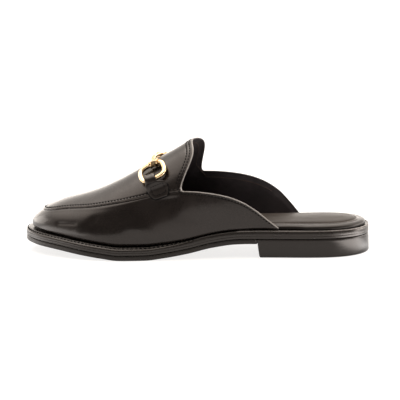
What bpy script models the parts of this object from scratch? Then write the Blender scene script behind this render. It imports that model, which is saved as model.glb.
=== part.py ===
"""Flat mule: a left slip-on loafer with an open back, a raised apron, a standing tongue and a snaffle trim.

Frame: +X points to the toe, +Y to the lateral side (the shoe's left), +Z up. The origin is on the ground at the
centre of the sole's outline. Lengths are in metres. Stations along the shoe are shares of SOLE_LENGTH from the
heel; sections across it are ribs that run from the feather line, where upper and welt meet, up to the ridge.
"""

import math

import bmesh
import bpy
import numpy as np
from mathutils import Vector

# Sole
SOLE_LENGTH = 0.2660
BALL_WIDTH = 0.0915
WAIST_WIDTH = 0.0585
HEEL_WIDTH = 0.0630
TOE_WIDTH = 0.0575
HEEL_RISE = 0.0102
TOE_SPRING = 0.0080
WELT_THICKNESS = 0.0062
OUTSOLE_THICKNESS = 0.0036
HEEL_LENGTH = 0.0808
BREAST_SLANT = 0.0016
EDGE_CHAMFER = 0.0004
WELT_BEVEL_WIDTH = 0.0022
WELT_BEVEL_HEIGHT = 0.0018
JOINT_GAP = 0.0003

# Upper
UPPER_WALL = 0.0020
APRON_STEP = 0.0009
TOE_LEDGE = 0.0052
BALL_LEDGE = 0.0040
WAIST_LEDGE = 0.0012
HEEL_LEDGE = 0.0024
APEX_HEIGHT = 0.0853
APEX_STATION = 0.1306
RIDGE_SETBACK = 0.0330
RIDGE_FAN = 1.35
LATERAL_NOTCH_STATION = 0.1372
MEDIAL_NOTCH_STATION = 0.1303
LATERAL_QUARTER_END = 0.0647
MEDIAL_QUARTER_END = 0.0543
LATERAL_COLLAR_HEIGHT = 0.0508
MEDIAL_COLLAR_HEIGHT = 0.0568
QUARTER_TIP_HEIGHT = 0.0016
WALL_BULGE = 0.0026
LATERAL_TONGUE_SWEEP = 0.0052
MEDIAL_TONGUE_SWEEP = 0.0060
LATERAL_SWEEP_LEAN = 1.35
MEDIAL_SWEEP_LEAN = 1.00

# Insole
INSOLE_THICKNESS = 0.0038
INSOLE_ROLL = 0.0065
INSOLE_SQUARENESS = 2.9
INSOLE_LEAD = 0.0120
SOCK_INSET = 0.0068
SOCK_THICKNESS = 0.0010
SOCK_CROWN = 0.0005

# Snaffle trim
TRIM_PLACE = 0.180
RING_LENGTH = 0.0220
RING_WIDTH = 0.0168
RING_WIRE = 0.0030
RING_SQUARENESS = 3.1
RING_OFFSET = 0.0032
RING_DROP = 0.0326
TRIM_CLEARANCE = 0.0004
BAR_WIRE = 0.0034
BAR_OFFSET = 0.0062
BARREL_LENGTH = 0.0074
BARREL_WALL = 0.0009
STRAP_WIDTH = 0.0140
STRAP_NECK = 0.0085
FOLD_SLACK = 0.0016
STRAP_LENGTH = 0.0138
STRAP_SHOULDER = 0.0065
STRAP_FLARE = 0.0045
STRAP_THICKNESS = 0.0012

# Each row: share of SOLE_LENGTH, outline width, and where its middle lies to the lateral side
OUTLINE_ROWS = (
    (0.000, 0.000 * HEEL_WIDTH, 0.000 * BALL_WIDTH),
    (0.030, 0.660 * HEEL_WIDTH, 0.000 * BALL_WIDTH),
    (0.080, 0.930 * HEEL_WIDTH, 0.000 * BALL_WIDTH),
    (0.160, 1.010 * HEEL_WIDTH, 0.004 * BALL_WIDTH),
    (0.250, 0.975 * HEEL_WIDTH, 0.012 * BALL_WIDTH),
    (0.340, 1.000 * WAIST_WIDTH, 0.028 * BALL_WIDTH),
    (0.430, 1.030 * WAIST_WIDTH, 0.040 * BALL_WIDTH),
    (0.520, 0.780 * BALL_WIDTH, 0.036 * BALL_WIDTH),
    (0.600, 0.905 * BALL_WIDTH, 0.020 * BALL_WIDTH),
    (0.680, 0.992 * BALL_WIDTH, 0.000 * BALL_WIDTH),
    (0.740, 0.998 * BALL_WIDTH, -0.018 * BALL_WIDTH),
    (0.810, 0.930 * BALL_WIDTH, -0.042 * BALL_WIDTH),
    (0.870, 0.800 * BALL_WIDTH, -0.062 * BALL_WIDTH),
    (0.930, 1.000 * TOE_WIDTH, -0.078 * BALL_WIDTH),
    (0.970, 0.680 * TOE_WIDTH, -0.088 * BALL_WIDTH),
    (1.000, 0.000 * TOE_WIDTH, -0.092 * BALL_WIDTH),
)

# Each row: share of SOLE_LENGTH, height of the sole's underside off the ground
UNDERSIDE_ROWS = (
    (0.000, 1.000 * HEEL_RISE),
    (0.325, 1.000 * HEEL_RISE),
    (0.363, 0.975 * HEEL_RISE),
    (0.430, 0.760 * HEEL_RISE),
    (0.498, 0.385 * HEEL_RISE),
    (0.565, 0.125 * HEEL_RISE),
    (0.615, 0.000 * HEEL_RISE),
    (0.690, 0.000 * TOE_SPRING),
    (0.740, 0.170 * TOE_SPRING),
    (0.810, 0.430 * TOE_SPRING),
    (0.884, 0.700 * TOE_SPRING),
    (0.950, 0.880 * TOE_SPRING),
    (1.000, 1.000 * TOE_SPRING),
)

# Each row: share of SOLE_LENGTH, how far the welt stands out past the upper
LEDGE_ROWS = (
    (0.00, HEEL_LEDGE),
    (0.28, HEEL_LEDGE),
    (0.36, WAIST_LEDGE),
    (0.48, WAIST_LEDGE),
    (0.60, 0.80 * BALL_LEDGE),
    (0.70, BALL_LEDGE),
    (0.85, BALL_LEDGE),
    (1.00, TOE_LEDGE),
)

# Each row: share of the way from the tongue's apex to the ridge's front end, share of APEX_HEIGHT
RIDGE_ROWS = (
    (-0.90, 1.216),
    (-0.50, 1.151),
    (-0.20, 1.067),
    (0.00, 1.000),
    (0.12, 0.926),
    (0.25, 0.847),
    (0.38, 0.769),
    (0.50, 0.697),
    (0.62, 0.629),
    (0.74, 0.569),
    (0.86, 0.519),
    (1.00, 0.472),
)

# Each row: share of the way from the notch to the toe, height of the apron's seam as a share of APEX_HEIGHT
SEAM_ROWS = (
    (0.00, 0.584),
    (0.10, 0.565),
    (0.24, 0.527),
    (0.36, 0.495),
    (0.48, 0.466),
    (0.62, 0.436),
    (0.76, 0.413),
    (0.88, 0.384),
    (1.00, 0.359),
)

# Each row: share of the way from the quarter's end to the notch, share of the collar's rise above the tip
LATERAL_COLLAR_ROWS = (
    (0.00, 0.000),
    (0.10, 0.200),
    (0.22, 0.450),
    (0.36, 0.680),
    (0.52, 0.835),
    (0.70, 0.930),
    (0.86, 0.982),
    (1.00, 1.000),
)
MEDIAL_COLLAR_ROWS = (
    (0.00, 0.000),
    (0.10, 0.275),
    (0.22, 0.560),
    (0.36, 0.765),
    (0.52, 0.895),
    (0.70, 0.970),
    (0.86, 0.998),
    (1.00, 1.000),
)

# Each row: share of the way from the notch to the toe, flatness across the top, squareness of the shoulder, bulge
RIB_ROWS = (
    (-0.60, 2.00, 2.30, 0.80),
    (0.00, 1.75, 2.35, 1.00),
    (0.35, 2.05, 2.40, 0.75),
    (0.65, 2.20, 2.70, 0.45),
    (0.85, 2.35, 3.40, 0.30),
    (1.00, 2.40, 3.00, 0.20),
)

SOLE_STEPS = 44
QUARTER_STEPS = 13
VAMP_STEPS = 25
WALL_ROWS = 7
APRON_ROWS = 10


def spline(knots, values, period=None):
    """A smooth curve through a table's points: natural at its ends, or repeating after period."""
    k, v = np.array(knots, float), np.array(values, float)
    if period is not None:
        k, v = np.append(k, k[0] + period), np.append(v, v[0])
    n, h = len(k), np.diff(k)
    slope = np.diff(v) / h
    a, b = np.zeros((n, n)), np.zeros(n)
    for i in range(1, n - 1):
        a[i, i - 1 : i + 2] = h[i - 1], 2 * (h[i - 1] + h[i]), h[i]
        b[i] = 6 * (slope[i] - slope[i - 1])
    if period is None:
        a[0, 0] = a[-1, -1] = 1
    else:
        a[0, 0], a[0, -1] = 1, -1
        a[-1, 0], a[-1, 1], a[-1, -2], a[-1, -1] = 2 * h[0], h[0], h[-1], 2 * h[-1]
        b[-1] = 6 * (slope[0] - slope[-1])
    m = np.linalg.solve(a, b)

    def at(x):
        if period is not None:
            x = k[0] + (x - k[0]) % period
        i = int(np.clip(np.searchsorted(k, x) - 1, 0, n - 2))
        s, t = k[i + 1] - x, x - k[i]
        curve = (m[i] * s**3 + m[i + 1] * t**3) / (6 * h[i])
        return curve + (v[i] / h[i] - m[i] * h[i] / 6) * s + (v[i + 1] / h[i] - m[i + 1] * h[i] / 6) * t

    return at


def monotone(rows, column=1):
    """A curve through one column of a table that never overshoots its points, and holds its end values outside."""
    k, v = np.array([r[0] for r in rows], float), np.array([r[column] for r in rows], float)
    h = np.diff(k)
    slope = np.diff(v) / h
    tangent = np.zeros(len(k))
    tangent[0], tangent[-1] = slope[0], slope[-1]
    for i in range(1, len(k) - 1):
        if slope[i - 1] * slope[i] > 0:
            w1, w2 = 2 * h[i] + h[i - 1], h[i] + 2 * h[i - 1]
            tangent[i] = (w1 + w2) / (w1 / slope[i - 1] + w2 / slope[i])

    def at(x):
        x = min(max(x, k[0]), k[-1])
        i = int(np.clip(np.searchsorted(k, x) - 1, 0, len(k) - 2))
        t = (x - k[i]) / h[i]
        start = (2 * t**3 - 3 * t**2 + 1) * v[i] + (t**3 - 2 * t**2 + t) * h[i] * tangent[i]
        return start + (3 * t**2 - 2 * t**3) * v[i + 1] + (t**3 - t**2) * h[i] * tangent[i + 1]

    return at


def smooth_step(x):
    x = min(max(x, 0.0), 1.0)
    return x * x * (3 - 2 * x)


def angle_at(station):
    """The outline's angle, 0 at the heel and pi at the toe, at a distance from the heel."""
    return math.acos(1 - 2 * station / SOLE_LENGTH)


def make_outline():
    """The sole's outline as y over the angle: the lateral side from 0 to pi, the medial side back to 2 pi."""
    lateral = [(angle_at(r[0] * SOLE_LENGTH), r[2] + r[1] / 2) for r in OUTLINE_ROWS]
    medial = [(2 * math.pi - angle_at(r[0] * SOLE_LENGTH), r[2] - r[1] / 2) for r in OUTLINE_ROWS[1:-1]]
    points = lateral + medial[::-1]
    return spline([p[0] for p in points], [p[1] for p in points], period=2 * math.pi)


outline_y = make_outline()
underside = monotone(UNDERSIDE_ROWS)
ledge = monotone(LEDGE_ROWS)
OUTLINE_TURN = np.linspace(0, 2 * math.pi, 721)
OUTLINE_MIDDLE = (max(map(outline_y, OUTLINE_TURN)) + min(map(outline_y, OUTLINE_TURN))) / 2


def outline_point(angle):
    """Station and offset of the sole's outer edge, with the outline's box centred across."""
    return np.array([SOLE_LENGTH * (1 - math.cos(angle)) / 2, outline_y(angle) - OUTLINE_MIDDLE])


def inset_point(angle, inset):
    """A point on the outline moved inwards by inset, which is a length or a function of the station's share."""
    step = 1e-4
    tangent = outline_point(angle + step) - outline_point(angle - step)
    inward = np.array([tangent[1], -tangent[0]]) / np.hypot(*tangent)
    here = outline_point(angle)
    distance = inset(here[0] / SOLE_LENGTH) if callable(inset) else inset
    return here + inward * distance


def sole_top(station):
    """Height of the welt's top, on which the upper and the insole stand."""
    return underside(station / SOLE_LENGTH) + OUTSOLE_THICKNESS + WELT_THICKNESS


def middle_of(station):
    """Offset of the line midway between the outline's two sides."""
    angle = angle_at(min(max(station, 0.0), SOLE_LENGTH))
    return (outline_point(angle)[1] + outline_point(2 * math.pi - angle)[1]) / 2


def placed(point):
    """A point with its station measured from the heel, in the shoe's frame."""
    return (point[0] - SOLE_LENGTH / 2, point[1], point[2])


def add_material(name, colour, roughness, metallic=0.0):
    material = bpy.data.materials.new(name)
    material.use_nodes = True
    shader = material.node_tree.nodes["Principled BSDF"]
    shader.inputs["Base Color"].default_value = (*colour, 1)
    shader.inputs["Roughness"].default_value = roughness
    shader.inputs["Metallic"].default_value = metallic
    material.diffuse_color = (*colour, 1)
    return material


def add_mesh(name, vertices, faces, material, collection):
    """A named object from a grid's vertices and faces; vertices that coincide at a grid's pole are joined."""
    mesh = bpy.data.meshes.new(name)
    mesh.from_pydata([placed(v) for v in vertices], [], faces)
    shape = bmesh.new()
    shape.from_mesh(mesh)
    bmesh.ops.remove_doubles(shape, verts=shape.verts, dist=1e-6)
    bmesh.ops.dissolve_degenerate(shape, edges=shape.edges, dist=1e-7)
    if all(edge.is_manifold for edge in shape.edges):
        bmesh.ops.recalc_face_normals(shape, faces=shape.faces)
    shape.to_mesh(mesh)
    shape.free()
    mesh.materials.append(material)
    mesh.shade_smooth()
    mesh.set_sharp_from_angle(angle=math.radians(35))
    item = bpy.data.objects.new(name, mesh)
    collection.objects.link(item)
    return item


def plate(name, levels, first, last, material, collection, across=1, crown=0.0, steps=SOLE_STEPS):
    """A closed plate between two angles of the outline. Each level, from the bottom up, is an inset and a height
    function of the station; the top is crowned across. A plate that stops short of an end is straight there."""
    angles = [first + (last - first) * i / steps for i in range(steps + 1)]
    vertices, faces, rings = [], [], []
    for inset, height in levels:
        ring = []
        for angle in angles + [2 * math.pi - a for a in angles[::-1]]:
            x, y = inset_point(angle, inset)
            vertices.append((x, y, height(x)))
            ring.append(len(vertices) - 1)
        rings.append(ring)
    count = len(rings[0])
    for low, high in zip(rings, rings[1:]):
        for i in range(count):
            j = (i + 1) % count
            faces.append((low[i], low[j], high[j], high[i]))
    for ring, rise in ((rings[0], 0.0), (rings[-1], crown)):
        height = levels[0][1] if ring is rings[0] else levels[-1][1]
        lines = []
        for i in range(steps + 1):
            start, end = np.array(vertices[ring[i]]), np.array(vertices[ring[count - 1 - i]])
            end_fade = math.sin(math.pi * i / steps) ** 0.5 if rise else 0.0
            line = [ring[i]]
            for j in range(1, across):
                share = j / across
                x, y, _ = start + (end - start) * share
                vertices.append((x, y, height(x) + rise * end_fade * (1 - (2 * share - 1) ** 2)))
                line.append(len(vertices) - 1)
            lines.append(line + [ring[count - 1 - i]])
        for near, far in zip(lines, lines[1:]):
            faces += [(near[j], far[j], far[j + 1], near[j + 1]) for j in range(across)]
    return add_mesh(name, vertices, faces, material, collection)


def make_welt(material, collection):
    """The upper layer of the sole, bevelled and stitched round the forepart."""

    def forepart(share):
        return 0.15 + 0.85 * smooth_step((share - 0.46) / 0.12)

    def bottom(x):
        return sole_top(x) - WELT_THICKNESS + JOINT_GAP

    levels = (
        (EDGE_CHAMFER, bottom),
        (0.0, lambda x: bottom(x) + EDGE_CHAMFER),
        (0.0, lambda x: sole_top(x) - WELT_BEVEL_HEIGHT * forepart(x / SOLE_LENGTH)),
        (lambda share: WELT_BEVEL_WIDTH * forepart(share), sole_top),
    )
    return plate("welt", levels, 0.0, math.pi, material, collection)


def make_outsole(material, collection):
    """The forepart's lower layer, from the heel's breast over the arch to the toe."""
    start = angle_at(HEEL_LENGTH + JOINT_GAP)

    def bottom(x):
        return underside(x / SOLE_LENGTH)

    levels = (
        (EDGE_CHAMFER, bottom),
        (0.0, lambda x: bottom(x) + EDGE_CHAMFER),
        (0.0, lambda x: bottom(x) + OUTSOLE_THICKNESS - EDGE_CHAMFER),
        (EDGE_CHAMFER, lambda x: bottom(x) + OUTSOLE_THICKNESS),
    )
    return plate("outsole", levels, start, math.pi, material, collection)


def make_heel(material, collection):
    """The heel block, with its breast slanting back to the ground."""
    top = HEEL_RISE + OUTSOLE_THICKNESS
    end = angle_at(HEEL_LENGTH)
    levels = (
        (EDGE_CHAMFER, lambda x: 0.0),
        (0.0, lambda x: EDGE_CHAMFER),
        (0.0, lambda x: top - EDGE_CHAMFER),
        (EDGE_CHAMFER, lambda x: top),
    )
    heel = plate("heel", levels, 0.0, end, material, collection, steps=SOLE_STEPS // 2)
    breast = HEEL_LENGTH - SOLE_LENGTH / 2
    for vertex in heel.data.vertices:
        if vertex.co.x > breast - 3 * EDGE_CHAMFER:
            vertex.co.x = breast - BREAST_SLANT * (1 - vertex.co.z / top)
    return heel


def insole_inset(share):
    """How far the insole's edge lies inside the welt's: clear of the upper's wall wherever that stands."""
    rear = (MEDIAL_QUARTER_END - INSOLE_LEAD) / SOLE_LENGTH
    under_upper = smooth_step((share - rear) / 0.04)
    return ledge(share) + under_upper * (UPPER_WALL + JOINT_GAP)


def make_insole(material, collection):
    """The padded footbed, with its edge rolled over down to the welt."""

    def base(x):
        return sole_top(x) + JOINT_GAP

    def level(turn):
        inward = INSOLE_ROLL * (1 - max(math.cos(turn), 0.0) ** (2 / INSOLE_SQUARENESS))
        rise = INSOLE_THICKNESS * (0.35 + 0.65 * math.sin(turn) ** (2 / INSOLE_SQUARENESS))
        return (lambda share: insole_inset(share) + inward), (lambda x: base(x) + rise)

    levels = [(insole_inset, base)] + [level(math.radians(turn)) for turn in (0, 22, 45, 68, 90)]
    return plate("insole", levels, 0.0, math.pi, material, collection)


def make_sock(material, collection):
    """The sock lining: a crowned pad let onto the footbed inside its rolled edge."""

    def base(x):
        return sole_top(x) + INSOLE_THICKNESS + 2 * JOINT_GAP

    def inset(share):
        return insole_inset(share) + SOCK_INSET

    levels = (
        (inset, base),
        (inset, lambda x: base(x) + 0.6 * SOCK_THICKNESS),
        (lambda share: inset(share) + 0.4 * SOCK_THICKNESS, lambda x: base(x) + SOCK_THICKNESS),
    )
    return plate("sock", levels, 0.0, math.pi, material, collection, across=4, crown=SOCK_CROWN, steps=30)


RIDGE_END = SOLE_LENGTH - TOE_LEDGE - RIDGE_SETBACK
TOE_POINT = SOLE_LENGTH - TOE_LEDGE
ridge_share = spline([r[0] for r in RIDGE_ROWS], [r[1] for r in RIDGE_ROWS])
seam_share = spline([r[0] for r in SEAM_ROWS], [r[1] for r in SEAM_ROWS])
rib_flatness, rib_squareness, rib_bulge = (monotone(RIB_ROWS, column) for column in (1, 2, 3))


def ridge_height(station):
    return APEX_HEIGHT * ridge_share((station - APEX_STATION) / (RIDGE_END - APEX_STATION))


class Side:
    """One side of the upper: its notch, quarter and collar. A rib's place is 0 at the notch and 1 at the toe,
    and runs below 0 along the quarter."""

    def __init__(self, sign, notch, quarter_end, collar_height, tongue_sweep, sweep_lean, collar_rows):
        self.sign = sign
        self.notch = notch
        self.quarter_end = quarter_end
        self.collar_height = collar_height
        self.tongue_sweep = tongue_sweep
        self.sweep_lean = sweep_lean
        self.collar_share = monotone(collar_rows)
        self.last_place = (quarter_end - notch) / (TOE_POINT - notch)

    def foot_angle(self, place):
        """The outline's angle at which a rib starts on the feather line."""
        if place < 0:
            along = angle_at(self.notch + place * (TOE_POINT - self.notch))
        else:
            start = angle_at(self.notch)
            along = start + (math.pi - start) * turn_of_place(place)
        return along if self.sign > 0 else 2 * math.pi - along

    def collar(self, station):
        """Height of the topline at a station of the quarter."""
        share = (station - self.quarter_end) / (self.notch - self.quarter_end)
        tip = sole_top(self.quarter_end) + QUARTER_TIP_HEIGHT
        return tip + (self.collar_height - tip) * self.collar_share(share)


def turn_of_place(place):
    """Share of the fan's angle that a rib at place has turned through, for evenly spaced feet round the toe."""
    return 2 / math.pi * math.asin(min(place, 1.0)) if place < 1 else 1.0


LATERAL = Side(
    1,
    LATERAL_NOTCH_STATION,
    LATERAL_QUARTER_END,
    LATERAL_COLLAR_HEIGHT,
    LATERAL_TONGUE_SWEEP,
    LATERAL_SWEEP_LEAN,
    LATERAL_COLLAR_ROWS,
)
MEDIAL = Side(
    -1,
    MEDIAL_NOTCH_STATION,
    MEDIAL_QUARTER_END,
    MEDIAL_COLLAR_HEIGHT,
    MEDIAL_TONGUE_SWEEP,
    MEDIAL_SWEEP_LEAN,
    MEDIAL_COLLAR_ROWS,
)


def ridge_station(place):
    """Where a rib meets the ridge; the ribs fan out towards the ridge's front end."""
    if place < 0:
        return APEX_STATION + place * (TOE_POINT - APEX_STATION)
    return APEX_STATION + (RIDGE_END - APEX_STATION) * (1 - (1 - place) ** RIDGE_FAN)


def rib_point(side, place, turn):
    """A point of the last's surface on the rib at place: turn is 0 on the ridge and pi / 2 on the feather line."""
    foot = inset_point(side.foot_angle(place), ledge)
    foot_height = sole_top(foot[0]) + JOINT_GAP
    station = ridge_station(place)
    top = np.array([station, middle_of(station)])
    slope = (ridge_height(station + 1e-4) - ridge_height(station - 1e-4)) / 2e-4
    out = math.sin(turn) ** (2 / rib_flatness(place))
    drop = max(math.cos(turn), 0.0) ** (2 / rib_squareness(place))
    reach = foot - top
    bulge = WALL_BULGE * rib_bulge(place) * math.sin(math.pi * drop**0.75) * smooth_step(3 * (1 - drop))
    x, y = top + reach * (out + bulge / np.hypot(*reach))
    swing = math.sin(math.pi * min(out / 0.86, 1.0) ** side.sweep_lean) ** 1.5
    x -= side.tongue_sweep * smooth_step(1 - place / 0.22) * swing
    roof = ridge_height(station) + slope * (x - station)
    return np.array([x, y, foot_height + (roof - foot_height) * drop])


def turn_at(side, place, height_of):
    """The turn at which a rib passes a height, given as a function of the station."""
    low, high = 0.0, math.pi / 2
    for _ in range(40):
        turn = (low + high) / 2
        x, _, z = rib_point(side, place, turn)
        low, high = (turn, high) if z > height_of(x) else (low, turn)
    return (low + high) / 2


def normal_at(side, place, turn):
    """Outward normal of the last's surface."""
    turn = min(max(turn, 0.02), math.pi / 2 - 0.02)
    step = 1e-3
    if place > 1 - step:
        other = MEDIAL if side is LATERAL else LATERAL
        along = rib_point(other, 1 - step, turn) - rib_point(side, 1 - step, turn)
    else:
        along = rib_point(side, place + step, turn) - rib_point(side, place - step, turn)
    down = rib_point(side, place, turn + step) - rib_point(side, place, turn - step)
    normal = np.cross(along, down) * side.sign
    return normal / np.linalg.norm(normal)


def wall_limit(side, place):
    """The turn at which a rib's wall ends: on the topline along the quarter, on the apron's seam before it."""
    if place < 0:
        return turn_at(side, place, side.collar)
    lift = (side.collar_height - APEX_HEIGHT * seam_share(0)) * (1 - smooth_step(place / 0.6))
    return turn_at(side, place, lambda x: APEX_HEIGHT * seam_share(place) + lift)


def wall_points(side, place):
    """Points of a rib from the feather line up to the topline or the seam."""
    limit = wall_limit(side, place)
    return [rib_point(side, place, math.pi / 2 + (limit - math.pi / 2) * i / WALL_ROWS) for i in range(WALL_ROWS + 1)]


def apron_points(side, place):
    """Points of a rib from the seam up to the ridge, raised by the apron's step."""
    limit = wall_limit(side, place)
    length = np.linalg.norm(rib_point(side, place, limit) - rib_point(side, place, 0.98 * limit)) / 0.02 / limit
    start = limit - APRON_STEP / length
    points = []
    for i in range(APRON_ROWS):
        turn = start * (1 - i / APRON_ROWS)
        points.append(rib_point(side, place, turn) + normal_at(side, place, turn) * APRON_STEP)
    station = ridge_station(place)
    slope = (ridge_height(station + 1e-4) - ridge_height(station - 1e-4)) / 2e-4
    raised = np.array([-slope, 0, 1]) / math.hypot(slope, 1) * APRON_STEP
    return points + [rib_point(side, place, 0.0) + raised]


def make_upper(material, collection):
    """The upper: one hollow shell over the toe and instep, open at the collar, the back and underneath."""
    vertices, faces = [], []

    def add(points):
        vertices.extend(points)
        return list(range(len(vertices) - len(points), len(vertices)))

    def join(near, far, side):
        for i in range(min(len(near), len(far)) - 1):
            face = (near[i], near[i + 1], far[i + 1], far[i])
            faces.append(face if side.sign > 0 else face[::-1])

    for side in (LATERAL, MEDIAL):
        quarter = [side.last_place * (1 - i / QUARTER_STEPS) for i in range(QUARTER_STEPS)]
        columns = [add(wall_points(side, place)) for place in quarter]
        for i in range(VAMP_STEPS + 1):
            place = math.sin(math.pi / 2 * i / VAMP_STEPS)
            columns.append(add(wall_points(side, place) + apron_points(side, place)))
        for near, far in zip(columns, columns[1:]):
            join(near, far, side)
    upper = add_mesh("upper", vertices, faces, material, collection)
    return add_wall(upper, UPPER_WALL)


def add_wall(item, thickness):
    """Thicken an open surface inwards, keeping its lower rim level."""
    count = len(item.data.vertices)
    wall = item.modifiers.new("wall", "SOLIDIFY")
    wall.thickness = thickness
    wall.offset = -1
    wall.use_even_offset = True
    graph = bpy.context.evaluated_depsgraph_get()
    mesh = bpy.data.meshes.new_from_object(item.evaluated_get(graph))
    item.modifiers.clear()
    item.data = mesh
    for i in range(count):
        outer, inner = mesh.vertices[i], mesh.vertices[count + i]
        x = outer.co.x + SOLE_LENGTH / 2
        if outer.co.z <= sole_top(x) + 1.5 * JOINT_GAP:
            inner.co.z = sole_top(inner.co.x + SOLE_LENGTH / 2) + JOINT_GAP
    return item


class Patch:
    """The apron's surface by the trim, measured towards the heel, down from the ridge and off it. Down runs square
    to the ridge, so it slants across the ribs."""

    def __init__(self, side):
        self.side = side
        self.turns = np.linspace(0.0, wall_limit(side, TRIM_PLACE) + 0.15, 60)
        line = [rib_point(side, TRIM_PLACE, turn) for turn in self.turns]
        self.drops = np.append(0.0, np.cumsum([np.linalg.norm(b - a) for a, b in zip(line, line[1:])]))
        turn = float(np.interp(RING_DROP, self.drops, self.turns))
        here = rib_point(side, TRIM_PLACE, turn)
        down = rib_point(side, TRIM_PLACE, turn + 0.01) - here
        along = here - rib_point(side, TRIM_PLACE + 0.01, turn)
        self.slant = down @ along / np.linalg.norm(down) / np.linalg.norm(along)

    def point(self, along, down, height):
        below, straight = down - RING_DROP, math.sqrt(1 - self.slant**2)
        along -= below * self.slant / straight
        turn = float(np.interp(RING_DROP + below / straight, self.drops, self.turns))
        here = rib_point(self.side, TRIM_PLACE, turn)
        rate = np.linalg.norm(rib_point(self.side, TRIM_PLACE + 0.01, turn) - here) / 0.01
        place = TRIM_PLACE - along / rate
        return rib_point(self.side, place, turn) + normal_at(self.side, place, turn) * (APRON_STEP + height)


class Trim:
    """Where one side's ring, barrel and strap lie. The ring is flat: it hangs in the strap's fold and from the bar."""

    def __init__(self, side):
        self.patch = Patch(side)
        self.low_height = JOINT_GAP + STRAP_THICKNESS + TRIM_CLEARANCE + RING_WIRE / 2
        self.high_height = JOINT_GAP + BARREL_WALL + 2 * TRIM_CLEARANCE + RING_WIRE / 2
        low = self.patch.point(RING_OFFSET, RING_DROP, self.low_height)
        high = self.patch.point(RING_OFFSET, RING_DROP - RING_WIDTH + RING_WIRE, self.high_height)
        self.centre = (low + high) / 2
        self.across = (low - high) / np.linalg.norm(low - high)
        ends = [
            self.patch.point(RING_OFFSET + way * 0.36 * RING_LENGTH, RING_DROP - RING_WIDTH / 2, self.low_height)
            for way in (-1, 1)
        ]
        along = ends[1] - ends[0]
        along -= self.across * (along @ self.across)
        self.along = along / np.linalg.norm(along)
        self.radius = np.linalg.norm(low - high) / 2
        self.hold = self.ring_side(BAR_OFFSET, -1)

    def sag(self, along):
        """How far the ring's long side lies in from its widest, at a distance along the patch."""
        share = min(abs(along - RING_OFFSET) / ((RING_LENGTH - RING_WIRE) / 2), 0.98)
        return self.radius * (1 - (1 - share**RING_SQUARENESS) ** (1 / RING_SQUARENESS))

    def ring_side(self, along, way):
        """A point of the ring's centre line on its lower (way 1) or upper (way -1) long side."""
        return self.centre + self.along * (along - RING_OFFSET) + self.across * way * (self.radius - self.sag(along))

    def loop_point(self, angle):
        """A point of the ring's centre line, a rounded oblong."""
        power = 2 / RING_SQUARENESS
        c, s = math.cos(angle), math.sin(angle)
        u = math.copysign(abs(c) ** power, c) * (RING_LENGTH - RING_WIRE) / 2
        v = math.copysign(abs(s) ** power, s) * self.radius
        return self.centre + self.along * u + self.across * v


def add_wire(name, points, thickness, cyclic, collection, resolution=2):
    """A round wire along points, with its ends filled, as a mesh object."""
    data = bpy.data.curves.new(name, "CURVE")
    data.dimensions = "3D"
    data.bevel_depth = thickness / 2
    data.bevel_resolution = resolution
    data.use_fill_caps = True
    line = data.splines.new("POLY")
    line.points.add(len(points) - 1)
    for item, point in zip(line.points, points):
        item.co = (*placed(point), 1)
    line.use_cyclic_u = cyclic
    curve = bpy.data.objects.new(name + "_curve", data)
    bpy.context.scene.collection.objects.link(curve)
    graph = bpy.context.evaluated_depsgraph_get()
    mesh = bpy.data.meshes.new_from_object(curve.evaluated_get(graph))
    bpy.data.objects.remove(curve)
    shape = bmesh.new()
    shape.from_mesh(mesh)
    bmesh.ops.remove_doubles(shape, verts=shape.verts, dist=1e-6)
    bmesh.ops.recalc_face_normals(shape, faces=shape.faces)
    shape.to_mesh(mesh)
    shape.free()
    mesh.name = name
    item = bpy.data.objects.new(name, mesh)
    collection.objects.link(item)
    return item


def cut(item, tool, operation):
    change = item.modifiers.new(operation.lower(), "BOOLEAN")
    change.object = tool
    change.operation = operation
    change.solver = "EXACT"
    tool.hide_render = True
    tool.display_type = "WIRE"


def make_ring(name, trim, material, collection):
    angles = [2 * math.pi * i / 32 for i in range(32)]
    ring = add_wire(name, [trim.loop_point(a) for a in angles], RING_WIRE, True, collection)
    ring.data.materials.append(material)
    ring.data.shade_smooth()


def make_bar(trims, material, collection, tools):
    """The bit's bar: it crosses the ridge and ends in a barrel round each ring's upper side."""
    lateral, medial = trims
    start = RING_DROP - RING_WIDTH + RING_WIRE
    low = BAR_WIRE / 2 + 2 * JOINT_GAP

    def bar_point(trim, share, height):
        """A point of the bar, from 0 at the ring to 1 on the ridge, where it runs straight across."""
        straighten = -trim.patch.slant / math.sqrt(1 - trim.patch.slant**2) * start * share**2 / 2
        return trim.patch.point(BAR_OFFSET + straighten, start * (1 - share), height)

    middle = (bar_point(lateral, 1, low) + bar_point(medial, 1, low)) / 2

    def half(trim):
        shift = middle - bar_point(trim, 1, low)
        line = [trim.hold]
        for share in (i / 8 for i in range(1, 8)):
            height = trim.high_height + (low - trim.high_height) * smooth_step(share)
            line.append(bar_point(trim, share, height) + shift * share)
        return line

    points = half(lateral) + [middle] + half(medial)[::-1]
    bar = add_wire("bit_bar", points, BAR_WIRE, False, collection, resolution=2)
    bar.data.materials.append(material)
    bore = RING_WIRE + 2 * TRIM_CLEARANCE

    def sleeve(name, trim, length, thickness):
        line = [trim.ring_side(BAR_OFFSET + length * (i / 8 - 0.5), -1) for i in range(9)]
        return add_wire(name, line, thickness, False, tools, resolution=3)

    for label, trim in zip(("lateral", "medial"), trims):
        cut(bar, sleeve("barrel_" + label, trim, BARREL_LENGTH, bore + 2 * BARREL_WALL), "UNION")
    for label, trim in zip(("lateral", "medial"), trims):
        cut(bar, sleeve("bore_" + label, trim, 1.2 * BARREL_LENGTH, bore), "DIFFERENCE")


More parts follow.
